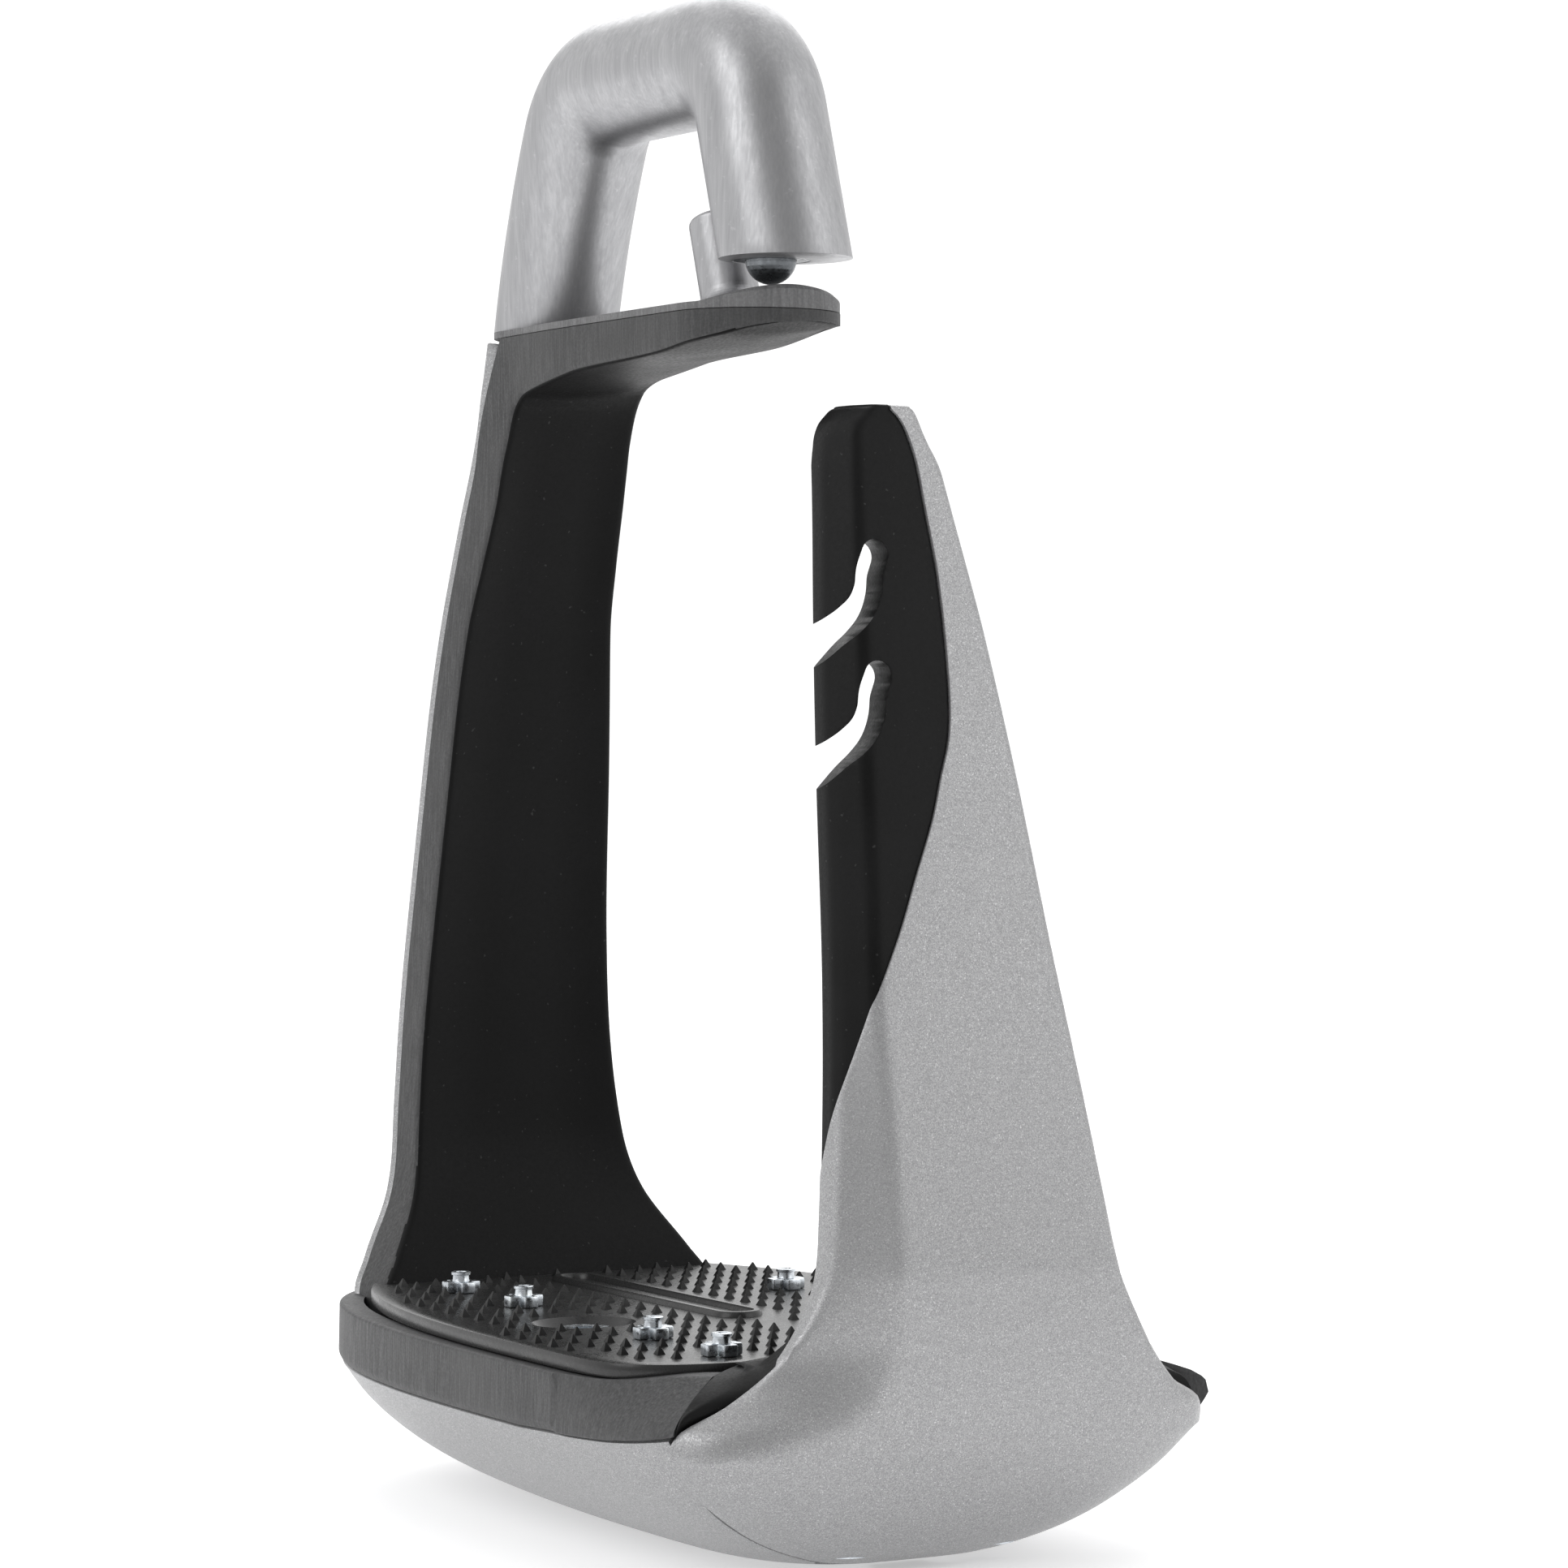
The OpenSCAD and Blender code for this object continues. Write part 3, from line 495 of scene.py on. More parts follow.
def high_profile(z, inset):
    """Blade section from its inner toe corner round the outer face to its inner heel corner."""
    xi, xo, w, v = out_x(z), arm_face(z) - inset, out_w(z) - inset, back_w(z) - inset
    xe = arm_edge(z)
    c = min(law(CREASE, z), w - 1.5)
    inner = min(xi + 0.5, xe - 0.3) if z > 27 else xe - 0.3
    corners = [(inner, -w), (xe - inset * 0.4, -w), (xo - 0.15, -c), (xo, 0), (xo - 0.15, v), (inner, v)]
    return resample(round_path(corners, [1.3, 1.2, 20, 1.5], 8, 10), PROFILE_N)

def arm_profile(z, inset=0.0):
    g = smooth(13, 31, z)
    if g <= 0:
        return low_profile(z, inset)
    high = high_profile(z, inset)
    return high if g >= 1 else low_profile(z, inset) * (1 - g) + high * g

def cover_start(z, P):
    """Share of the profile's length where the metal cover begins."""
    z_all, z_law = 48, 67.7
    if z <= z_all:
        return 0.0
    if z < z_law:
        return cover_start(z_law, arm_profile(z_law)) * ((z - z_all) / (z_law - z_all)) ** 1.15
    L = lengths(P)
    y = max(-out_w(z) * 0.985, law(COVER_Y, z))
    i = np.argmax((P[:, 0] > arm_edge(z) - 0.2) & (P[:, 1] > y))
    y0, y1 = P[i - 1, 1], P[i, 1]
    f = (y - y0) / (y1 - y0) if y1 > y0 else 0
    return (L[i - 1] + f * (L[i] - L[i - 1])) / L[-1]

def closing_rows(row, centre, steps, shrink, shift, height):
    """Rows that draw the last section in as it rounds over the tip."""
    out = []
    for t in steps:
        k = 1 - shrink * t * t
        x0, y0 = centre[0] - shift * t * t, centre[1]
        out.append([(x0 + (x - centre[0]) * k, y0 + (y - y0) * k, height(t)) for x, y, _ in row])
    return out

# ------------------------------------------------------------------ outer arm cover (silver), foot to tip
def cover_row(z):
    P = arm_profile(z)
    return [(x, y, z) for x, y in resample(P, 73, cover_start(z, P), 1.0)]

def outer_cover():
    rows = [cover_row(z) for z in spans((0.8, 16, 30), (16.6, 45, 44), (46, 60, 26), (60.6, 134, 100),
                                        (134.6, 137.8, 10), (138, 138.7, 6))]
    centre = np.array(rows[-1]).mean(axis=0)
    rows += closing_rows(rows[-1], centre, (0.35, 0.7, 0.92, 1.0), 0.10, 0.5, lambda t: 138.7 + 0.3 * t)
    o = grid("outer_cover_skin", rows, [SILVER])
    solidify(o, 1.5, 0.28, inside=(30, 0, 60))
    return o

cover = outer_cover()

# ------------------------------------------------------------------ outer arm liner (black), foot to tip
# below z 38 the liner flares out as a trumpet: its crest and its lip, each as z, x, y
CREST = [(16, 55.8, 36.2), (19.1, 55.9, 36.0), (20, 55.95, 35.6), (21.1, 55.9, 34.6), (22, 55.6, 32.6),
         (23, 55.2, 30.0), (24, 54.6, 27.6), (25.3, 53.8, 25.0), (26.1, 53.0, 23.0), (27.3, 52.9, 21.2),
         (29.2, 54.3, 19.4), (31, 56.0, 18.7), (33, 57.4, 18.5), (35, 57.95, 18.5), (38, 58.1, 18.0)]
LIP = [(16, 55.3, 36.0), (19, 55.5, 35.7), (20.6, 55.1, 35.0), (22.4, 54.0, 33.0), (23.7, 51.8, 30.1),
       (24.5, 49.7, 27.6), (25, 48.4, 25.0), (25.5, 47.6, 22.3), (27, 50, 19)]
LIP_TOP, LIP_X, FOOT_MIN_X = 25.5, 47.6, 46.4

def foot_in(z):
    """x of the liner's inner face."""
    return out_x(z) - (9.7 * ((31 - max(z, 24.9)) / 6.1) ** 2.2 if z < 31 else 0)

def crest(z):
    if z < CREST[-1][0]:
        return law(column(CREST, 1), z), law(column(CREST, 2), z)
    return out_x(z), out_w(z) - 0.4

def lip(z, crest_y):
    if z < LIP_TOP:
        return law(column(LIP, 1), z), law(column(LIP, 2), z)
    k = smooth(LIP_TOP, 29, z)
    return foot_in(z) + (LIP_X - foot_in(LIP_TOP)) * (1 - k) + 0.02, crest_y - 0.7 - 2.3 * k

def liner_ring(z):
    """Closed section: just inside the bare profile, well inside the cover, then back along the inner face."""
    full, bare, covered = (arm_profile(z, i) for i in (0.0, 0.32, 1.6))
    start = cover_start(z, full)
    fine_n = 1601
    gaps = np.linalg.norm(resample(covered, fine_n) - resample(full, 2, start, 1)[0], axis=1)
    under = resample(covered, 44, np.argmin(gaps) / (fine_n - 1), 1)
    shown = resample(bare, 34, 0, start) if start > 0 else np.repeat(covered[:1], 34, axis=0)
    cx, cy = crest(z)
    lx, ly = lip(z, cy)
    xi = max(FOOT_MIN_X, foot_in(z)) if z < 34 else foot_in(z)
    vy = cy - (out_w(z) - back_w(z))
    toe_y = max(ly, cy * 0.4)
    heel_y = max(ly - (cy - vy), vy * 0.4)
    inner = round_path([under[-1], (cx, vy), (lx, heel_y), (xi, heel_y * 0.6),
                        (xi + 0.1, 0.15 * (heel_y - toe_y)), (xi, -toe_y * 0.6), (lx, -toe_y), (cx, -cy), shown[0]],
                       [0.35, 0.4, 2, 20, 2, 0.4, 0.35], 5, 5)
    return [(x, y, z) for x, y in [*shown, *under, *inner[1:-1]]]

GROOVE = [(-19, 101.6), (-10.2, 110.2), (-7, 112.9), (-5.4, 114.6), (-4.5, 116.6), (-4.1, 118.8), (-3.3, 120.8)]
GROOVE_R, GROOVE_SLANT = 1.8, 0.28

def groove(dy, dz):
    """Cutter for a slot of even width with a round end, slanted in y as it goes through."""
    lines = [[(i, p[k]) for i, p in enumerate(GROOVE)] for k in (0, 1)]
    steps = np.linspace(0, len(GROOVE) - 1.001, 36)
    pts = np.stack([[law(line, t) for t in steps] for line in lines], 1)
    d = np.gradient(pts, axis=0)
    d /= np.linalg.norm(d, axis=1)[:, None]
    side = GROOVE_R * np.stack([-d[:, 1], d[:, 0]], 1)
    end = math.atan2(d[-1, 1], d[-1, 0])
    cap = [pts[-1] + GROOVE_R * np.array([math.cos(end + a), math.sin(end + a)])
           for a in np.linspace(math.pi / 2, -math.pi / 2, 13)[1:-1]]
    loop = [*(pts + side), *cap, *(pts - side)[::-1]]
    rows = [[(x, y + dy - GROOVE_SLANT * (x - 49.5), z + dz) for y, z in loop] for x in (20, 80)]
    return grid("groove", rows, [], True, (True, True))

def outer_liner():
    rows = [liner_ring(z) for z in spans((16.2, 24.4, 22), (24.6, 31, 28), (32, 60, 40), (61, 134, 96),
                                         (134.6, 137.8, 12), (138, 138.8, 7))]
    top = np.array(rows[-1])
    centre = (top.min(axis=0) + top.max(axis=0)) / 2
    rows += closing_rows(rows[-1], centre, (0.3, 0.6, 0.85, 1.0), 0.16, 0,
                         lambda t: 138.8 + 0.25 * math.sin(t * math.pi / 2))
    o = grid("outer_liner_skin", rows, [LINER], True, (True, True))
    cut(o, [groove(-1.3, 0), groove(-2.0, -14.5)], 32, edge=0.3, limit=55)
    return o

liner = outer_liner()
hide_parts("foot_cover", "outer_arm_cover")
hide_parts("foot_liner", "outer_arm_liner")

# ------------------------------------------------------------------ base shell (silver hull)
def shell_row(z):
    """Open outline from the toe side of the outer arm's seam round the inner end to the heel side."""
    xl, xr, b, nr = hull_at(z)
    if z >= EDGE_X[0][0]:
        xe = min(law(EDGE_X, z) - 0.42, xr - 0.2)
        right = [(x, b * (1 - ((x - BED_C) / (xr - BED_C)) ** nr) ** (1 / nr))
                 for x in np.linspace(xe, BED_C, 40)]
    else:
        right = [(BED_C + (xr - BED_C) * math.cos(t) ** (2 / nr), b * math.sin(t) ** (2 / nr))
                 for t in np.linspace(0.12, math.pi / 2 - 1e-6, 40)]
    left = [hull_pt(t, xl, xr, b, HULL_N, nr) for t in np.linspace(math.pi / 2, math.pi, 120)]
    half = [*resample(np.array(right), 40), *resample(np.array(left), 60)[1:]]
    k = smooth(8, SEAM_Z, z)
    toe = [(x, -y, z + k * rise(x) * min(1, abs(y) / 20)) for x, y in half[::-1][1:]]
    return [(x, y, z) for x, y in half] + toe

def base_shell():
    heights = np.concatenate([[0.0, 0.05, 0.2, 0.45], np.linspace(0.8, SEAM_Z - 0.3, 40), [SEAM_Z - 0.12]])
    o = grid("base_shell_skin", [shell_row(z) for z in heights], [SILVER], False, (True, False))
    solidify(o, 1.4, 0.25, inside=(0, 0, 40))
    cut(o, [cylinder("well", (x, y, -2), (x, y, z), 3.5) for x, y, z in BASE_WELLS], 32)
    return o

base = base_shell()
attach(base, "frame")
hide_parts("base_shell")

# ------------------------------------------------------------------ inner arm and head, one moulded piece
SKIN_T, SCOOP = 2.0, 0.9
# the bend between them: x and z of the inner point and of the outer point, half width, fall of the outer face
BEND = [(-39.1, 138.2, -47.6, 139.2, 9.5, 1.2), (-37.5, 141.7, -45.6, 144.2, 9.5, 1.2),
        (-35.5, 143.5, -41.7, 150.8, 9.6, 1.0), (-34.0, 144.1, -40.5, 151.95, 9.7, 0.3),
        (-30.3, 144.7, -35.5, 152, 10.0, 0), (-24.5, 145.4, -26.5, 152, 10.5, 0),
        (-18.7, 146.1, -18.7, 152, 10.7, 0)]
BEND_Z, TILT = 130, 2.2

def back_x(z, y, w, off=0.0):
    return law(IN_O, z) + off + law(IN_FALL, z) * abs(y / w) ** 2.2

def arm_row(xi, zi, xo, zo, w, scoop, fall, tilt=0.0):
    """Closed section between an inner (under) point and an outer (top) point; tilt lifts its heel side."""
    L = math.hypot(xi - xo, zi - zo)
    ex, ez = (xi - xo) / L, (zi - zo) / L
    path = round_path([(0, w), (L, w), (L - scoop, w * 0.55), (L - scoop, -w * 0.55), (L, -w), (0, -w)],
                      [1.0, 5, 5, 1.0], 6, 7)
    back = [(-fall * (1 - abs(y / w) ** 2.2), y) for y in np.linspace(-w, w, 31)[1:-1]]
    return [(xo + u * ex, y, zo + u * ez + tilt * max(0, u / L) ** 2 * (max(0.0, y + 11) / 22) ** 2.6)
            for u, y in [*path, *back]]

def upright_rows():
    rows = []
    for z in spans((20, 60, 60), (61, BEND_Z, 56)):
        w, scoop = law(IN_W, z), SCOOP * smooth(30, 45, z)
        rows.append(arm_row(law(IN_X, z), z, back_x(z, w, w, SKIN_T), z, w, scoop, law(IN_FALL, z)))
    return rows

def bend_rows():
    w, z = law(IN_W, BEND_Z), 134.8
    pairs = [(law(IN_X, BEND_Z), BEND_Z, back_x(BEND_Z, w, w, SKIN_T), BEND_Z, w, law(IN_FALL, BEND_Z)),
             (law(IN_X, z), z, back_x(z, w, w, SKIN_T), z, 9.7, 1.2)] + BEND
    steps = [math.hypot(b[0] - a[0], b[1] - a[1]) + math.hypot(b[2] - a[2], b[3] - a[3])
             for a, b in zip(pairs, pairs[1:])]
    K = np.concatenate([[0], np.cumsum(steps)])
    rows = []
    for k0, k1 in zip(K, K[1:]):
        for t in np.linspace(k0, k1, 8)[1:]:
            xi, zi, xo, zo, w, fall = [law([(k, p[j]) for k, p in zip(K, pairs)], min(t, K[-1] - 1e-4))
                                       for j in range(6)]
            scoop, tilt = SCOOP * (1 - smooth(0, K[4], t)), TILT * smooth(K[2], K[6], t)
            rows.append(arm_row(xi, zi, xo, min(zo, HEAD_TOP), w, scoop, max(0, fall), tilt))
    return rows

def head_rows():
    end = HEAD_X + HEAD_R * np.sin(np.linspace(0.05, math.pi / 2 * 0.985, 26))
    rows = []
    for x in np.concatenate([np.linspace(-17.5, HEAD_X, 30), end]):
        tilt = TILT + 0.9 * smooth(-2, 12, x) - 1.6 * smooth(12, 21.7, x)
        rows.append(arm_row(x, law(UNDER, x), x, HEAD_TOP, head_w(x), 0.0, 0.0, tilt))
    return rows

def is_painted_sheen_face(p):
    """True on the faces that take the painted sheen, a lighter grey that stands in for the bright room's
    reflection: both sides, and the rim of the head.
    """
    return abs(p.normal.y) > 0.75 or abs(p.normal.z) < 0.6 and p.center.x > 0.009 and p.center.z > 0.14

# the sides and the head's rim get the painted sheen, a lighter grey than the rest of the black piece
core = grid("inner_arm_skin", upright_rows() + bend_rows() + head_rows(), [BLACK, PAINTED_SHEEN], True, (True, True),
            face_mat=lambda p: 1 if is_painted_sheen_face(p) else 0)
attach(core, "frame")
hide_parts("inner_arm_core", "head_block")

def inner_cover():
    rows = []
    for z in spans((15.75, 60, 60), (61, 151.8, 70)):
        w = (law(IN_W, z) if z < 139 else 9.5) - 0.1
        rows.append([(back_x(z, y, w), y, z) for y in np.linspace(-w, w, 49)])
    o = grid("inner_cover_skin", rows, [SILVER])
    solidify(o, 1.9, 0.3)
    return o

icover = inner_cover()
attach(icover, "frame")
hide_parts("inner_arm_cover")

# ------------------------------------------------------------------ deck plate with a raised rim round its end
RIM_H, RIM_SPAN = 2.0, 70
# the plate's section: distance in from its outline, height, share of the rim's height
SECTION = [(0.35, 0, 0), (0.0, 0.12, 0), (0.0, 0.85, 0.05), (0.0, 1.0, 0.75), (0.3, 1.06, 0.95), (0.9, 1.1, 1.0),
           (1.7, 1.1, 0.9), (2.3, 1.1, 0.45), (3.0, 1.1, 0.0), (3.4, 1.1, 0.0)]

def deck_outline(inset):
    half = math.pi / 2
    bar_end = [(-41 + (8.4 - inset) * math.cos(t), (9.6 - inset) * math.sin(t))
               for t in np.linspace(half, 3 * half, 40)]
    toe = [(x, -(head_w(x) - 0.05 - inset)) for x in np.linspace(-40, 10.2, 50)]
    r = HEAD_R - 0.05 - inset
    end = [(HEAD_X + r * math.cos(t), r * math.sin(t)) for t in np.linspace(-half, half, 60)]
    heel = [(x, head_w(x) - 0.05 - inset) for x in np.linspace(10.2, -40, 50)]
    return bar_end + toe + end + heel

def rim_h(x, y):
    """Height of the rim, falling to nothing at RIM_SPAN degrees round the head's end."""
    a = math.degrees(math.atan2(abs(y), max(x - HEAD_X, 0.01)))
    return RIM_H * math.cos(math.radians(min(90.0, a * 90 / RIM_SPAN))) ** 1.2 if a < RIM_SPAN else 0.0

def deck_plate():
    outer = deck_outline(0)
    rings = [deck_outline(inset) for inset, _, _ in SECTION]
    sections = []
    for j, (x, y) in enumerate(outer):
        h = rim_h(x, y)
        sections.append([(*ring[j], HEAD_TOP + z + share * h) for ring, (_, z, share) in zip(rings, SECTION)])
    return loop_solid("deck_plate_skin", sections, [DECK], 30)

deck = deck_plate()
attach(deck, "frame")
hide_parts("deck_plate")

# ------------------------------------------------------------------ hook
HOOK_R, HOOK_LEAN = 8.3, 13.0
# the bar's centre line, in order: straight length, bend radius, degrees turned
HOOK_STEPS = [(3, 0, 0), (0, 125, 12), (0.6, 0, 0), (0, 11.3, 65), (26, 0, 0), (0, 11.7, 72), (24, 0, 0)]

def ahead(a):
    """Direction in x and z of a path that leans a degrees from upright."""
    return np.array([math.sin(math.radians(a)), math.cos(math.radians(a))])

def aside(a):
    return np.array([math.cos(math.radians(a)), -math.sin(math.radians(a))])

def hook_path():
    a = HOOK_LEAN
    p = np.array([-43.3, DECK_Z + 0.2]) - HOOK_STEPS[0][0] * ahead(a)
    pts = []
    for length, radius, turn in HOOK_STEPS:
        if turn:
            c = p + radius * aside(a)
            pts += [(c - radius * aside(a + t), a + t) for t in np.linspace(0, turn, 24, endpoint=False)]
            a += turn
            p = c - radius * aside(a)
        else:
            pts += [(p + t * ahead(a), a) for t in np.linspace(0, length, 10, endpoint=False)]
            p = p + length * ahead(a)
    return pts + [(p, a)]

def hook_bar():
    rows = []
    for (x, z), a in hook_path():
        sx, sz = HOOK_R * aside(a)
        rows.append([(x + sx * math.cos(t), HOOK_R * math.sin(t), z + sz * math.cos(t)) for t in turns(72)])
    o = grid("hook_skin", rows, [BAR], True, (True, True))
    # level ends, on the deck and at the tip, and the bore of the catch
    cut(o, [box("foot_end", -80, 10, DECK_Z + 0.02), box("tip_end", 0, 60, 158.4),
            cylinder("bore", (15.2, 0, 150), (15.2, 0, 171), 5.0)], 32, edge=0.35, limit=50, segments=3)
    return o

hook = hook_bar()
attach(hook, "frame")
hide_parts("hook_bar")

# ------------------------------------------------------------------ tread band
BAND_T, BAND_LIFT, SEAM_LIFT = 3.2, 0.12, 0.22
# where the full section ends and each end piece begins, and half width of the top edge over an end piece
BAND_X = 30
TOP_END = [(30, 37.9), (36, 36.7), (41, 34.7), (45, 32.3), (48, 30.1), (50.2, 27.9)]
# the heel side's last section, from its foot to its top
HEEL_END = [(56.2, 32.1, 13.6), (56.2, 34.3, 15.0), (56.2, 36.3, 16.7), (56.2, 38.1, 18.5), (56.0, 38.5, 20.0),
            (55.4, 37.6, 21.1), (54.4, 35.7, 21.9), (52.5, 32.0, 23.1), (50.3, 27.9, 24.5)]

def rim_outline(inset):
    reach = (RIM_L - inset, RIM_R - inset, RIM_B - inset)
    return np.array([hull_pt(t, *reach, HULL_N, RIM_N) for t in turns(2400)])

def band_rows(s):
    """Rows of the full section, from the band's inner end to BAND_X."""
    outer, inner = rim_outline(0), rim_outline(BAND_T)
    sel = [i for i in range(len(outer)) if outer[i, 1] * s > 0 and -58.5 < outer[i, 0] < BAND_X]
    sel.sort(key=lambda i: outer[i, 0])
    top = BAND_Z + BAND_LIFT
    rows = []
    for c, n in zip(resample(outer[sel], 170), resample(inner[sel], 170)):
        z0 = SEAM_Z + SEAM_LIFT + (rise(c[0]) if s < 0 else 0)
        corners = [(BAND_T, z0), (0.45, z0), (0.0, z0 + 0.9), (0.12, BAND_Z - 0.1), (0.5, top), (BAND_T, top)]
        sec = round_path(corners, [0.3, 0.3, 0.4, 0.3], 4, 5)
        rows.append([(*(c + (n - c) * d / BAND_T), z) for d, z in sec])
    return rows

def toe_wall(foot, top):
    """Outer wall that bulges between its foot and its top edge."""
    (xb, yb, zb), (xt, yt, zt) = foot, top
    return [(xb + (xt - xb) * u**1.5, yb + (yt - yb) * u**1.5, zb + (zt - zb) * u) for u in np.linspace(0, 1, 9)]

def heel_wall(foot, top, t):
    """Straight wall that turns into HEEL_END."""
    foot, top = np.array(foot), np.array(top)
    straight = np.array([foot + (top - foot) * u for u in np.linspace(0, 1, 12)])
    k = smooth(0.15, 1.0, t)
    last = resample(np.array(HEEL_END), 12) + np.array([foot[0] - HEEL_END[0][0], 0, 0])
    return [tuple(p) for p in straight * (1 - k) + last * k]

def band_end_rows(s, n):
    """Rows beyond BAND_X, where the wall leans over and runs out beside the outer arm."""
    rows = []
    for t in np.linspace(0.02, 1, 44):
        xb = BAND_X + t * (26.2 if s > 0 else 25.9)
        yb = RIM_B * (1 - ((xb - BED_C) / (RIM_R - BED_C)) ** RIM_N) ** (1 / RIM_N)
        xt = BAND_X + t * 20.2
        top = (xt, law(TOP_END, xt), BAND_Z + BAND_LIFT + 1.2 * smooth(0.35, 1.0, t))
        foot_z = SEAM_Z + SEAM_LIFT
        if s < 0:
            wall = toe_wall((xb, yb, foot_z + rise(xb)), top)
        else:
            wall = heel_wall((xb, yb + (38.4 - yb) * smooth(0.2, 0.6, t), foot_z), top, t)
        _, y0, z0 = wall[0]
        loop = [(xb - 2.0 * t, y0 - BAND_T, z0)] + wall + [(xt - 2.6 * t, top[1] - 3.0, top[2])]
        rows.append([(x, s * y, z) for x, y, z in resample(np.array(loop), n)])
    return rows

# -1 is the toe side and 1 the heel side
for s, name in ((-1, "band_front"), (1, "band_back")):
    rows = band_rows(s)
    band = grid(name, rows + band_end_rows(s, len(rows[0])), [BAND], True, (True, True), 28)
    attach(band, "frame")
    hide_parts("tread_band")

# ------------------------------------------------------------------ tread pad
# the pad's edge as distance in from its outline and height, from the foot to the top
PAD_EDGE = [(1.2, 21.4), (1.2, BAND_Z + 0.25), (0.1, BAND_Z + 0.3), (0.0, BAND_Z + 0.6), (0.0, PAD_Z - 0.5),
            (0.15, PAD_Z - 0.14), (0.55, PAD_Z), (1.6, PAD_Z), (2.2, PAD_Z)]
# a screw well's side, as radius and height
WELL_SIDE = [(3.6, 23.2), (3.9, 23.5), (5.4, 25.0), (6.0, 25.5), (6.2, 27)]

def pad_ring(inset, z):
    return [(*hull_pt(t, PAD_L - inset, PAD_R - inset, PAD_B - inset, PAD_NL, PAD_NR), z) for t in turns(360)]

def well(x, y):
    sections = [[(x + r * math.cos(t), y + WELL_LONG * r * math.sin(t), z) for r, z in WELL_SIDE]
                for t in turns(48)]
    return loop_solid("well", sections, [])

pad = grid("pad_skin", [pad_ring(inset, z) for inset, z in PAD_EDGE], [PAD], True, (True, True))
cut(pad, [cylinder("hole", (x, y, 20), (x, y, 30), 1.6, 24) for x, y in STUDS], 35)
cut(pad, [well(x, y) for x, y in WELLS], 35)
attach(pad, "frame")

# ------------------------------------------------------------------ grip points: rows of small pyramids
PITCH_X, PITCH_Y, STAGGER = 4.25, 3.85, 2.12
SPIKE_R, SPIKE_H = 0.64 * 1.2, 1.02

def inside_pad(x, y, margin):
    left = x < BED_C
    a = BED_C + PAD_L - margin if left else PAD_R - margin - BED_C
    q = PAD_NL if left else PAD_NR
    return (abs(x - BED_C) / a) ** q + (abs(y) / (PAD_B - margin)) ** q < 1

def is_free(x, y):
    """True where a grip point stands clear of the edge, the rail, the studs, the wells and the inner arm."""
    if not inside_pad(x, y, 2.0):
        return False
    if abs(y) < 4.6 and -42 < x < 12 or abs(y) < 2 and x > 10:
        return False
    if min(math.hypot(x - a, y - b) for a, b in STUDS) < 3.9:
        return False
    if min(math.hypot(x - a, (y - b) / WELL_LONG) for a, b in WELLS) < 6.6:
        return False
    arm_z = 27
    return x >= law(IN_X, arm_z) + 1.5 or abs(y) >= law(IN_W, arm_z) + 1

def pad_spikes():
    rng = np.random.default_rng(7)
    # radius and height of each level of four points below the tip
    levels = ((SPIKE_R, -0.05), (SPIKE_R * 0.96, 0.06), (0.12, SPIKE_H - 0.06))
    verts, faces = [], []
    for j in range(-9, 10):
        y = j * PITCH_Y
        for i in range(-20, 12):
            x = 3.6 + i * PITCH_X + (STAGGER if j % 2 else 0.0)
            if not is_free(x, y):
                continue
            n = len(verts)
            a0 = math.pi / 4 + rng.uniform(-0.05, 0.05)
            corners = [a0 + k * math.pi / 2 for k in range(4)]
            verts += [(x + r * math.cos(a), y + r * math.sin(a), PAD_Z + z) for r, z in levels for a in corners]
            verts.append((x, y, PAD_Z + SPIKE_H))
            for m in (n, n + 4):
                faces += [(m + k, m + (k + 1) % 4, m + 4 + (k + 1) % 4, m + 4 + k) for k in range(4)]
            faces += [(n + 8 + k, n + 8 + (k + 1) % 4, n + 12) for k in range(4)]
            faces.append((n + 3, n + 2, n + 1, n))
    return make("pad_spikes", verts, faces, [SPIKE], 25)

spikes = pad_spikes()
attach(spikes, "frame")

# ------------------------------------------------------------------ plain rail, a long loop along the pad
RAIL_R, RAIL_X0, RAIL_X1 = 2.6, -37.4, 6.4
RAIL_SECTION = [(-0.75, -0.1), (-0.6, 0.45), (-0.35, 0.7), (0.35, 0.7), (0.6, 0.45), (0.75, -0.1)]

def pad_rail():
    half = math.pi / 2
    path = [(x + RAIL_R * math.cos(t), RAIL_R * math.sin(t))
            for x, a in ((RAIL_X1, -half), (RAIL_X0, half)) for t in np.linspace(a, a + math.pi, 20)]
    P = np.array(path)
    rows = []
    for i, (x, y) in enumerate(P):
        d = P[(i + 1) % len(P)] - P[i - 1]
        d /= np.linalg.norm(d)
        rows.append([(x - d[1] * u, y + d[0] * u, PAD_Z + v) for u, v in RAIL_SECTION])
    return grid("pad_rail", rows + rows[:1], [PAD], angle=40)

rail = pad_rail()
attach(rail, "frame")
for o in (pad, spikes, rail):
    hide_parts("tread_pad")

# ------------------------------------------------------------------ studs with cross heads
CROSS_R, CROSS_W = 2.4, 0.98
HEAD_Z0, HEAD_Z1, TIP_Z = PAD_Z + 0.02, PAD_Z + 1.5, PAD_Z + 2.72
# the round tip in the middle of the cross, as radius and height, from its foot to its dished top
TIP_SIDE = [(0.0, HEAD_Z1 - 0.2), (1.3, HEAD_Z1 - 0.2), (1.12, HEAD_Z1 + 0.15), (1.08, TIP_Z - 0.45),
            (1.28, TIP_Z - 0.38), (1.28, TIP_Z - 0.08), (1.16, TIP_Z), (0.7, TIP_Z), (0.6, TIP_Z - 0.12),
            (0, TIP_Z - 0.12)]

def stud_head(name, x, y):
    r, w = CROSS_R, CROSS_W
    loop = [(r, -w), (r, w), (w, w), (w, r), (-w, r), (-w, w),
            (-r, w), (-r, -w), (-w, -w), (-w, -r), (w, -r), (w, -w)]
    rows = [[(x + a, y + b, z) for a, b in loop] for z in (HEAD_Z0, HEAD_Z1)]
    o = grid(name, rows, [ZINC], True, (True, True), 30)
    bevel(o, 0.22, 40)
    apply_mods(o, 30)
    return o

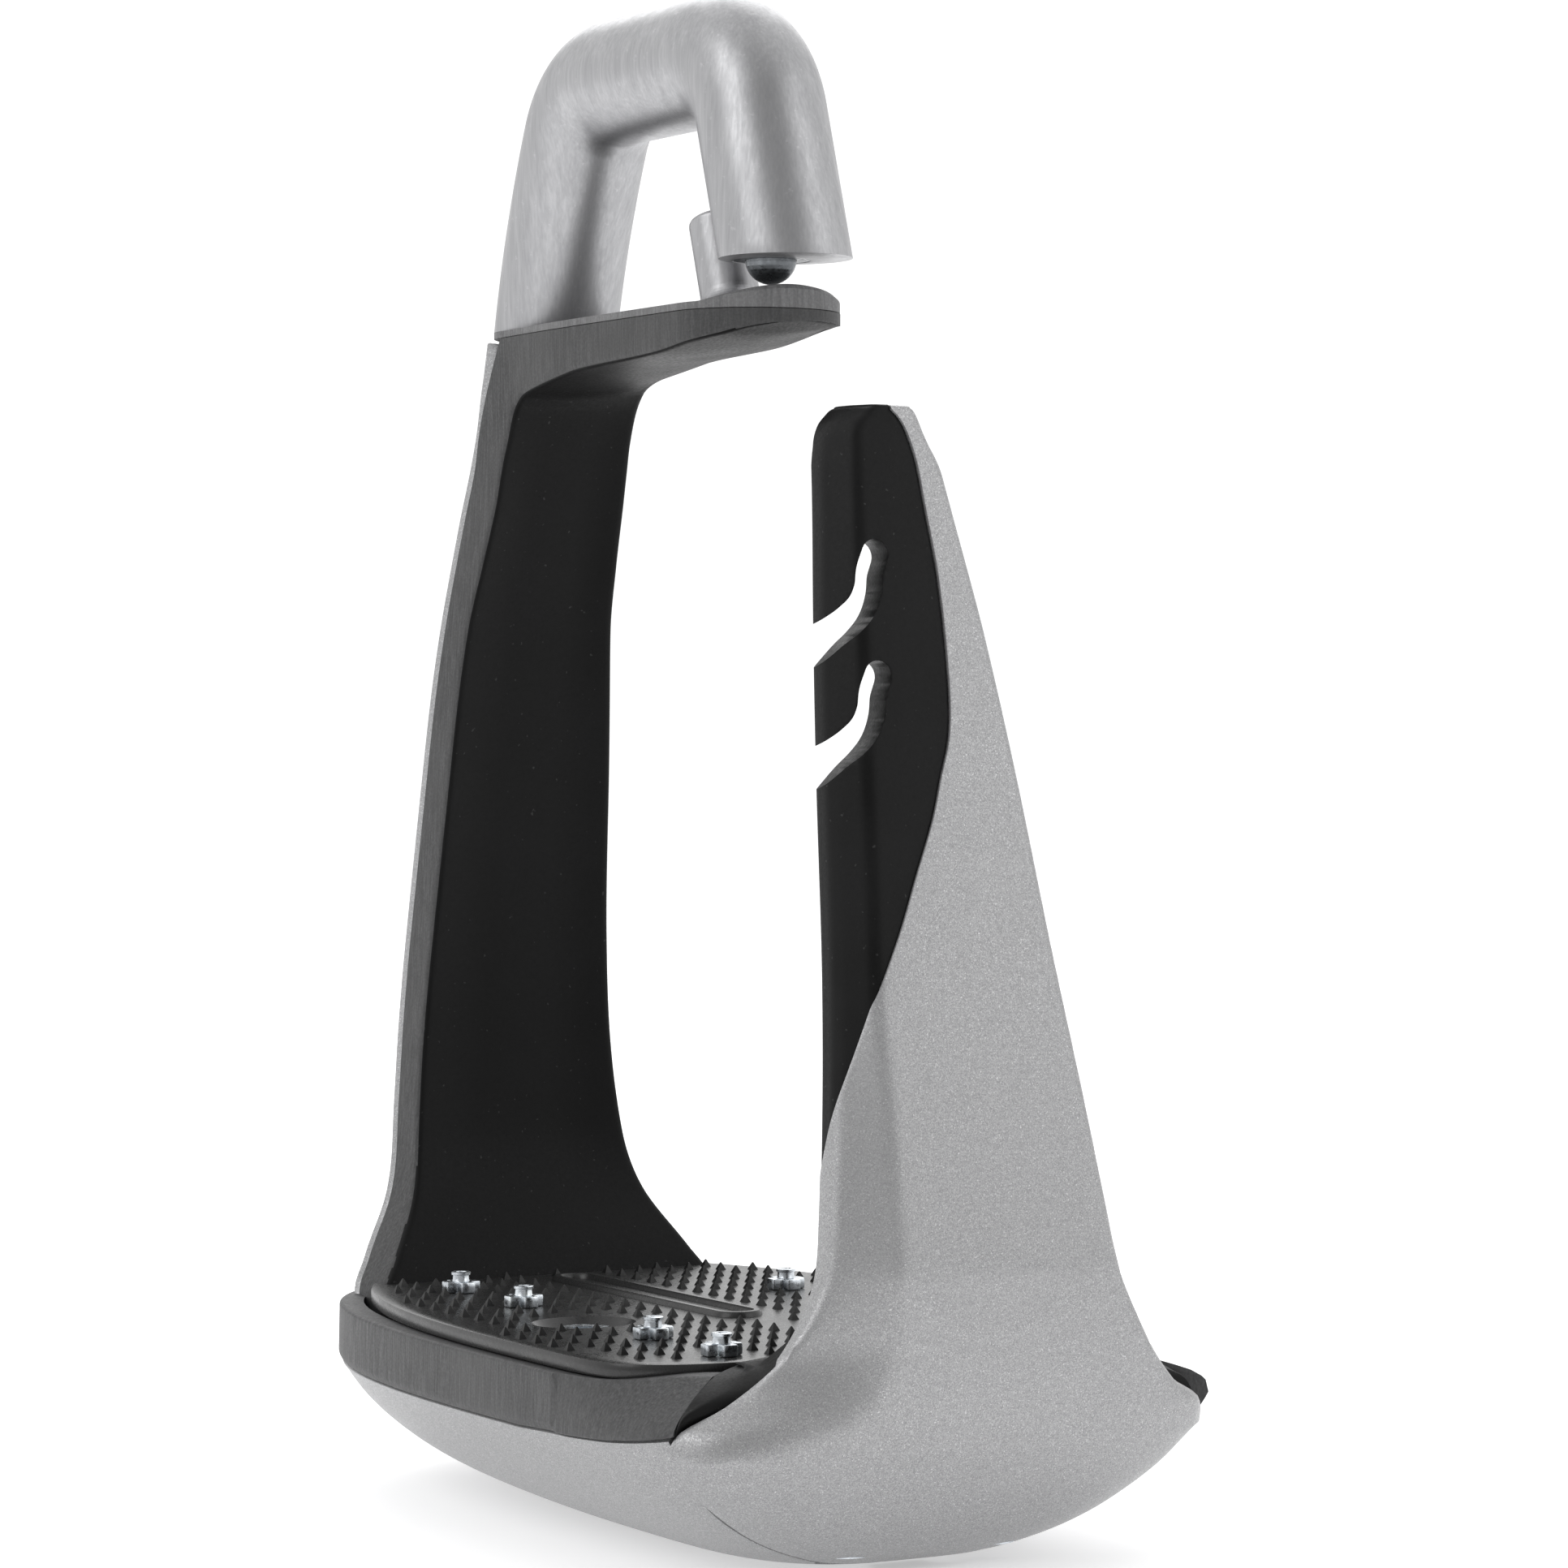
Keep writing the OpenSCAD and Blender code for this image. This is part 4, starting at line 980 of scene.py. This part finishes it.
def stud_tip(name, x, y):
    rows = [[(x + r * math.cos(t), y + r * math.sin(t), z) for r, z in TIP_SIDE]
            for t in np.linspace(0, TURN, 33)]
    return grid(name, rows, [ZINC])

def stud_shank(name, x, y):
    o = cylinder(name, (x, y, 14.6), (x, y, PAD_Z + 0.1), 1.48, 24)
    o.data.materials.append(ZINC)
    return o

for i, (x, y) in enumerate(STUDS, 1):
    stud = (stud_head(f"stud_head_{i}", x, y), stud_tip(f"stud_tip_{i}", x, y),
            stud_shank(f"stud_shank_{i}", x, y))
    for o in stud:
        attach(o, "frame")
        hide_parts(f"stud_{i}")

# ------------------------------------------------------------------ materials of the carried-over CAD nodes
NODE_MATS = {"deck_plate": DECK, "strap_peg": BAR, "catch_pin": DARK_STEEL, "catch_sleeve": DARK_STEEL,
             "platform_core": BLACK}

def dress(o, mat):
    if not o.material_slots:
        o.data.materials.append(mat)
    for s in o.material_slots:
        s.link = "OBJECT"
        s.material = mat

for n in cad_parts:
    dress(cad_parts[n], BRASS if n.startswith("stud_insert") else NODE_MATS.get(n, ZINC))

# the skins that cross the arm's root get their transforms baked in, after their meshes are final
for o in (cover, liner):
    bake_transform(o)

# ------------------------------------------------------------------ floor
def floor():
    m, nt, b = new_mat("floor_white", (0.86, 0.86, 0.865), 0.9, spec=0.2)
    clouds = noise(nt, tex_coord(nt), 40, 2)
    col = ramp(nt, clouds, [(0.0, (0.855, 0.855, 0.86)), (1.0, (0.87, 0.87, 0.875))])
    nt.links.new(col, b.inputs["Base Color"])
    b.inputs["Emission Color"].default_value = (1, 1, 1, 1)
    b.inputs["Emission Strength"].default_value = 0.42
    rows = [[(r * math.cos(t), r * math.sin(t), -0.4) for r in (1, 1200, 3000, 8000)]
            for t in np.linspace(0, TURN, 97)]
    return grid("floor", rows, [m])

floor()

# ------------------------------------------------------------------ world: a bright room, darker on one side
def studio():
    world = bpy.data.worlds.new("studio")
    world.use_nodes = True
    nt = world.node_tree
    bg = nt.nodes["Background"]
    coord = nt.nodes.new("ShaderNodeTexCoord")
    dot = nt.nodes.new("ShaderNodeVectorMath")
    dot.operation = "DOT_PRODUCT"
    dot.inputs[1].default_value = (0.866, -0.5, 0.0)
    nt.links.new(coord.outputs["Generated"], dot.inputs[0])
    room = map_range(nt, dot.outputs["Value"], (-0.15, 0.75), (1.02, 0.38))
    # the camera itself sees plain white
    seen = nt.nodes.new("ShaderNodeLightPath").outputs["Is Camera Ray"]
    strength = math_node(nt, "ADD", math_node(nt, "MAXIMUM", room, seen), math_node(nt, "MULTIPLY", seen, 0.12))
    nt.links.new(strength, bg.inputs["Strength"])
    bg.inputs["Color"].default_value = (1, 1, 1, 1)
    return world

scene = bpy.context.scene
scene.world = studio()

# ------------------------------------------------------------------ lights and camera, in metres
LAMP_SIZE, LAMP_AIM = 1.2, (0, 0, 0.1)
CAM_AZ, CAM_DOWN, CAM_DIST = math.radians(60), math.radians(0.84), 0.615
CAM_X, CAM_Z = 0.0185, 0.102

def turn_to(o, direction):
    o.rotation_mode = "QUATERNION"
    o.rotation_quaternion = direction.to_track_quat("-Z", "Y")

def lamp(name, loc, power):
    data = bpy.data.lights.new(name, "AREA")
    data.shape = "RECTANGLE"
    data.size = data.size_y = LAMP_SIZE
    data.energy = power
    o = bpy.data.objects.new(name, data)
    scene.collection.objects.link(o)
    o.location = loc
    turn_to(o, Vector(LAMP_AIM) - Vector(loc))

lamp("key", (0.1, -1.5, 1.2), 8)
lamp("fill", (1.3, 1.0, 0.9), 4)
lamp("rear", (-1.2, 0.7, 1.2), 7)

def camera():
    data = bpy.data.cameras.new("camera")
    data.sensor_width = 36.0
    data.lens = 113.2
    data.clip_start, data.clip_end = 0.05, 50
    o = bpy.data.objects.new("camera", data)
    scene.collection.objects.link(o)
    away = Vector((math.sin(CAM_AZ), -math.cos(CAM_AZ), 0))
    o.location = Vector((CAM_X, 0, CAM_Z)) + CAM_DIST * away
    turn_to(o, Vector((0, 0, -math.sin(CAM_DOWN))) - math.cos(CAM_DOWN) * away)
    return o

scene.camera = camera()
scene.view_settings.view_transform = "Standard"
scene.view_settings.look = "None"
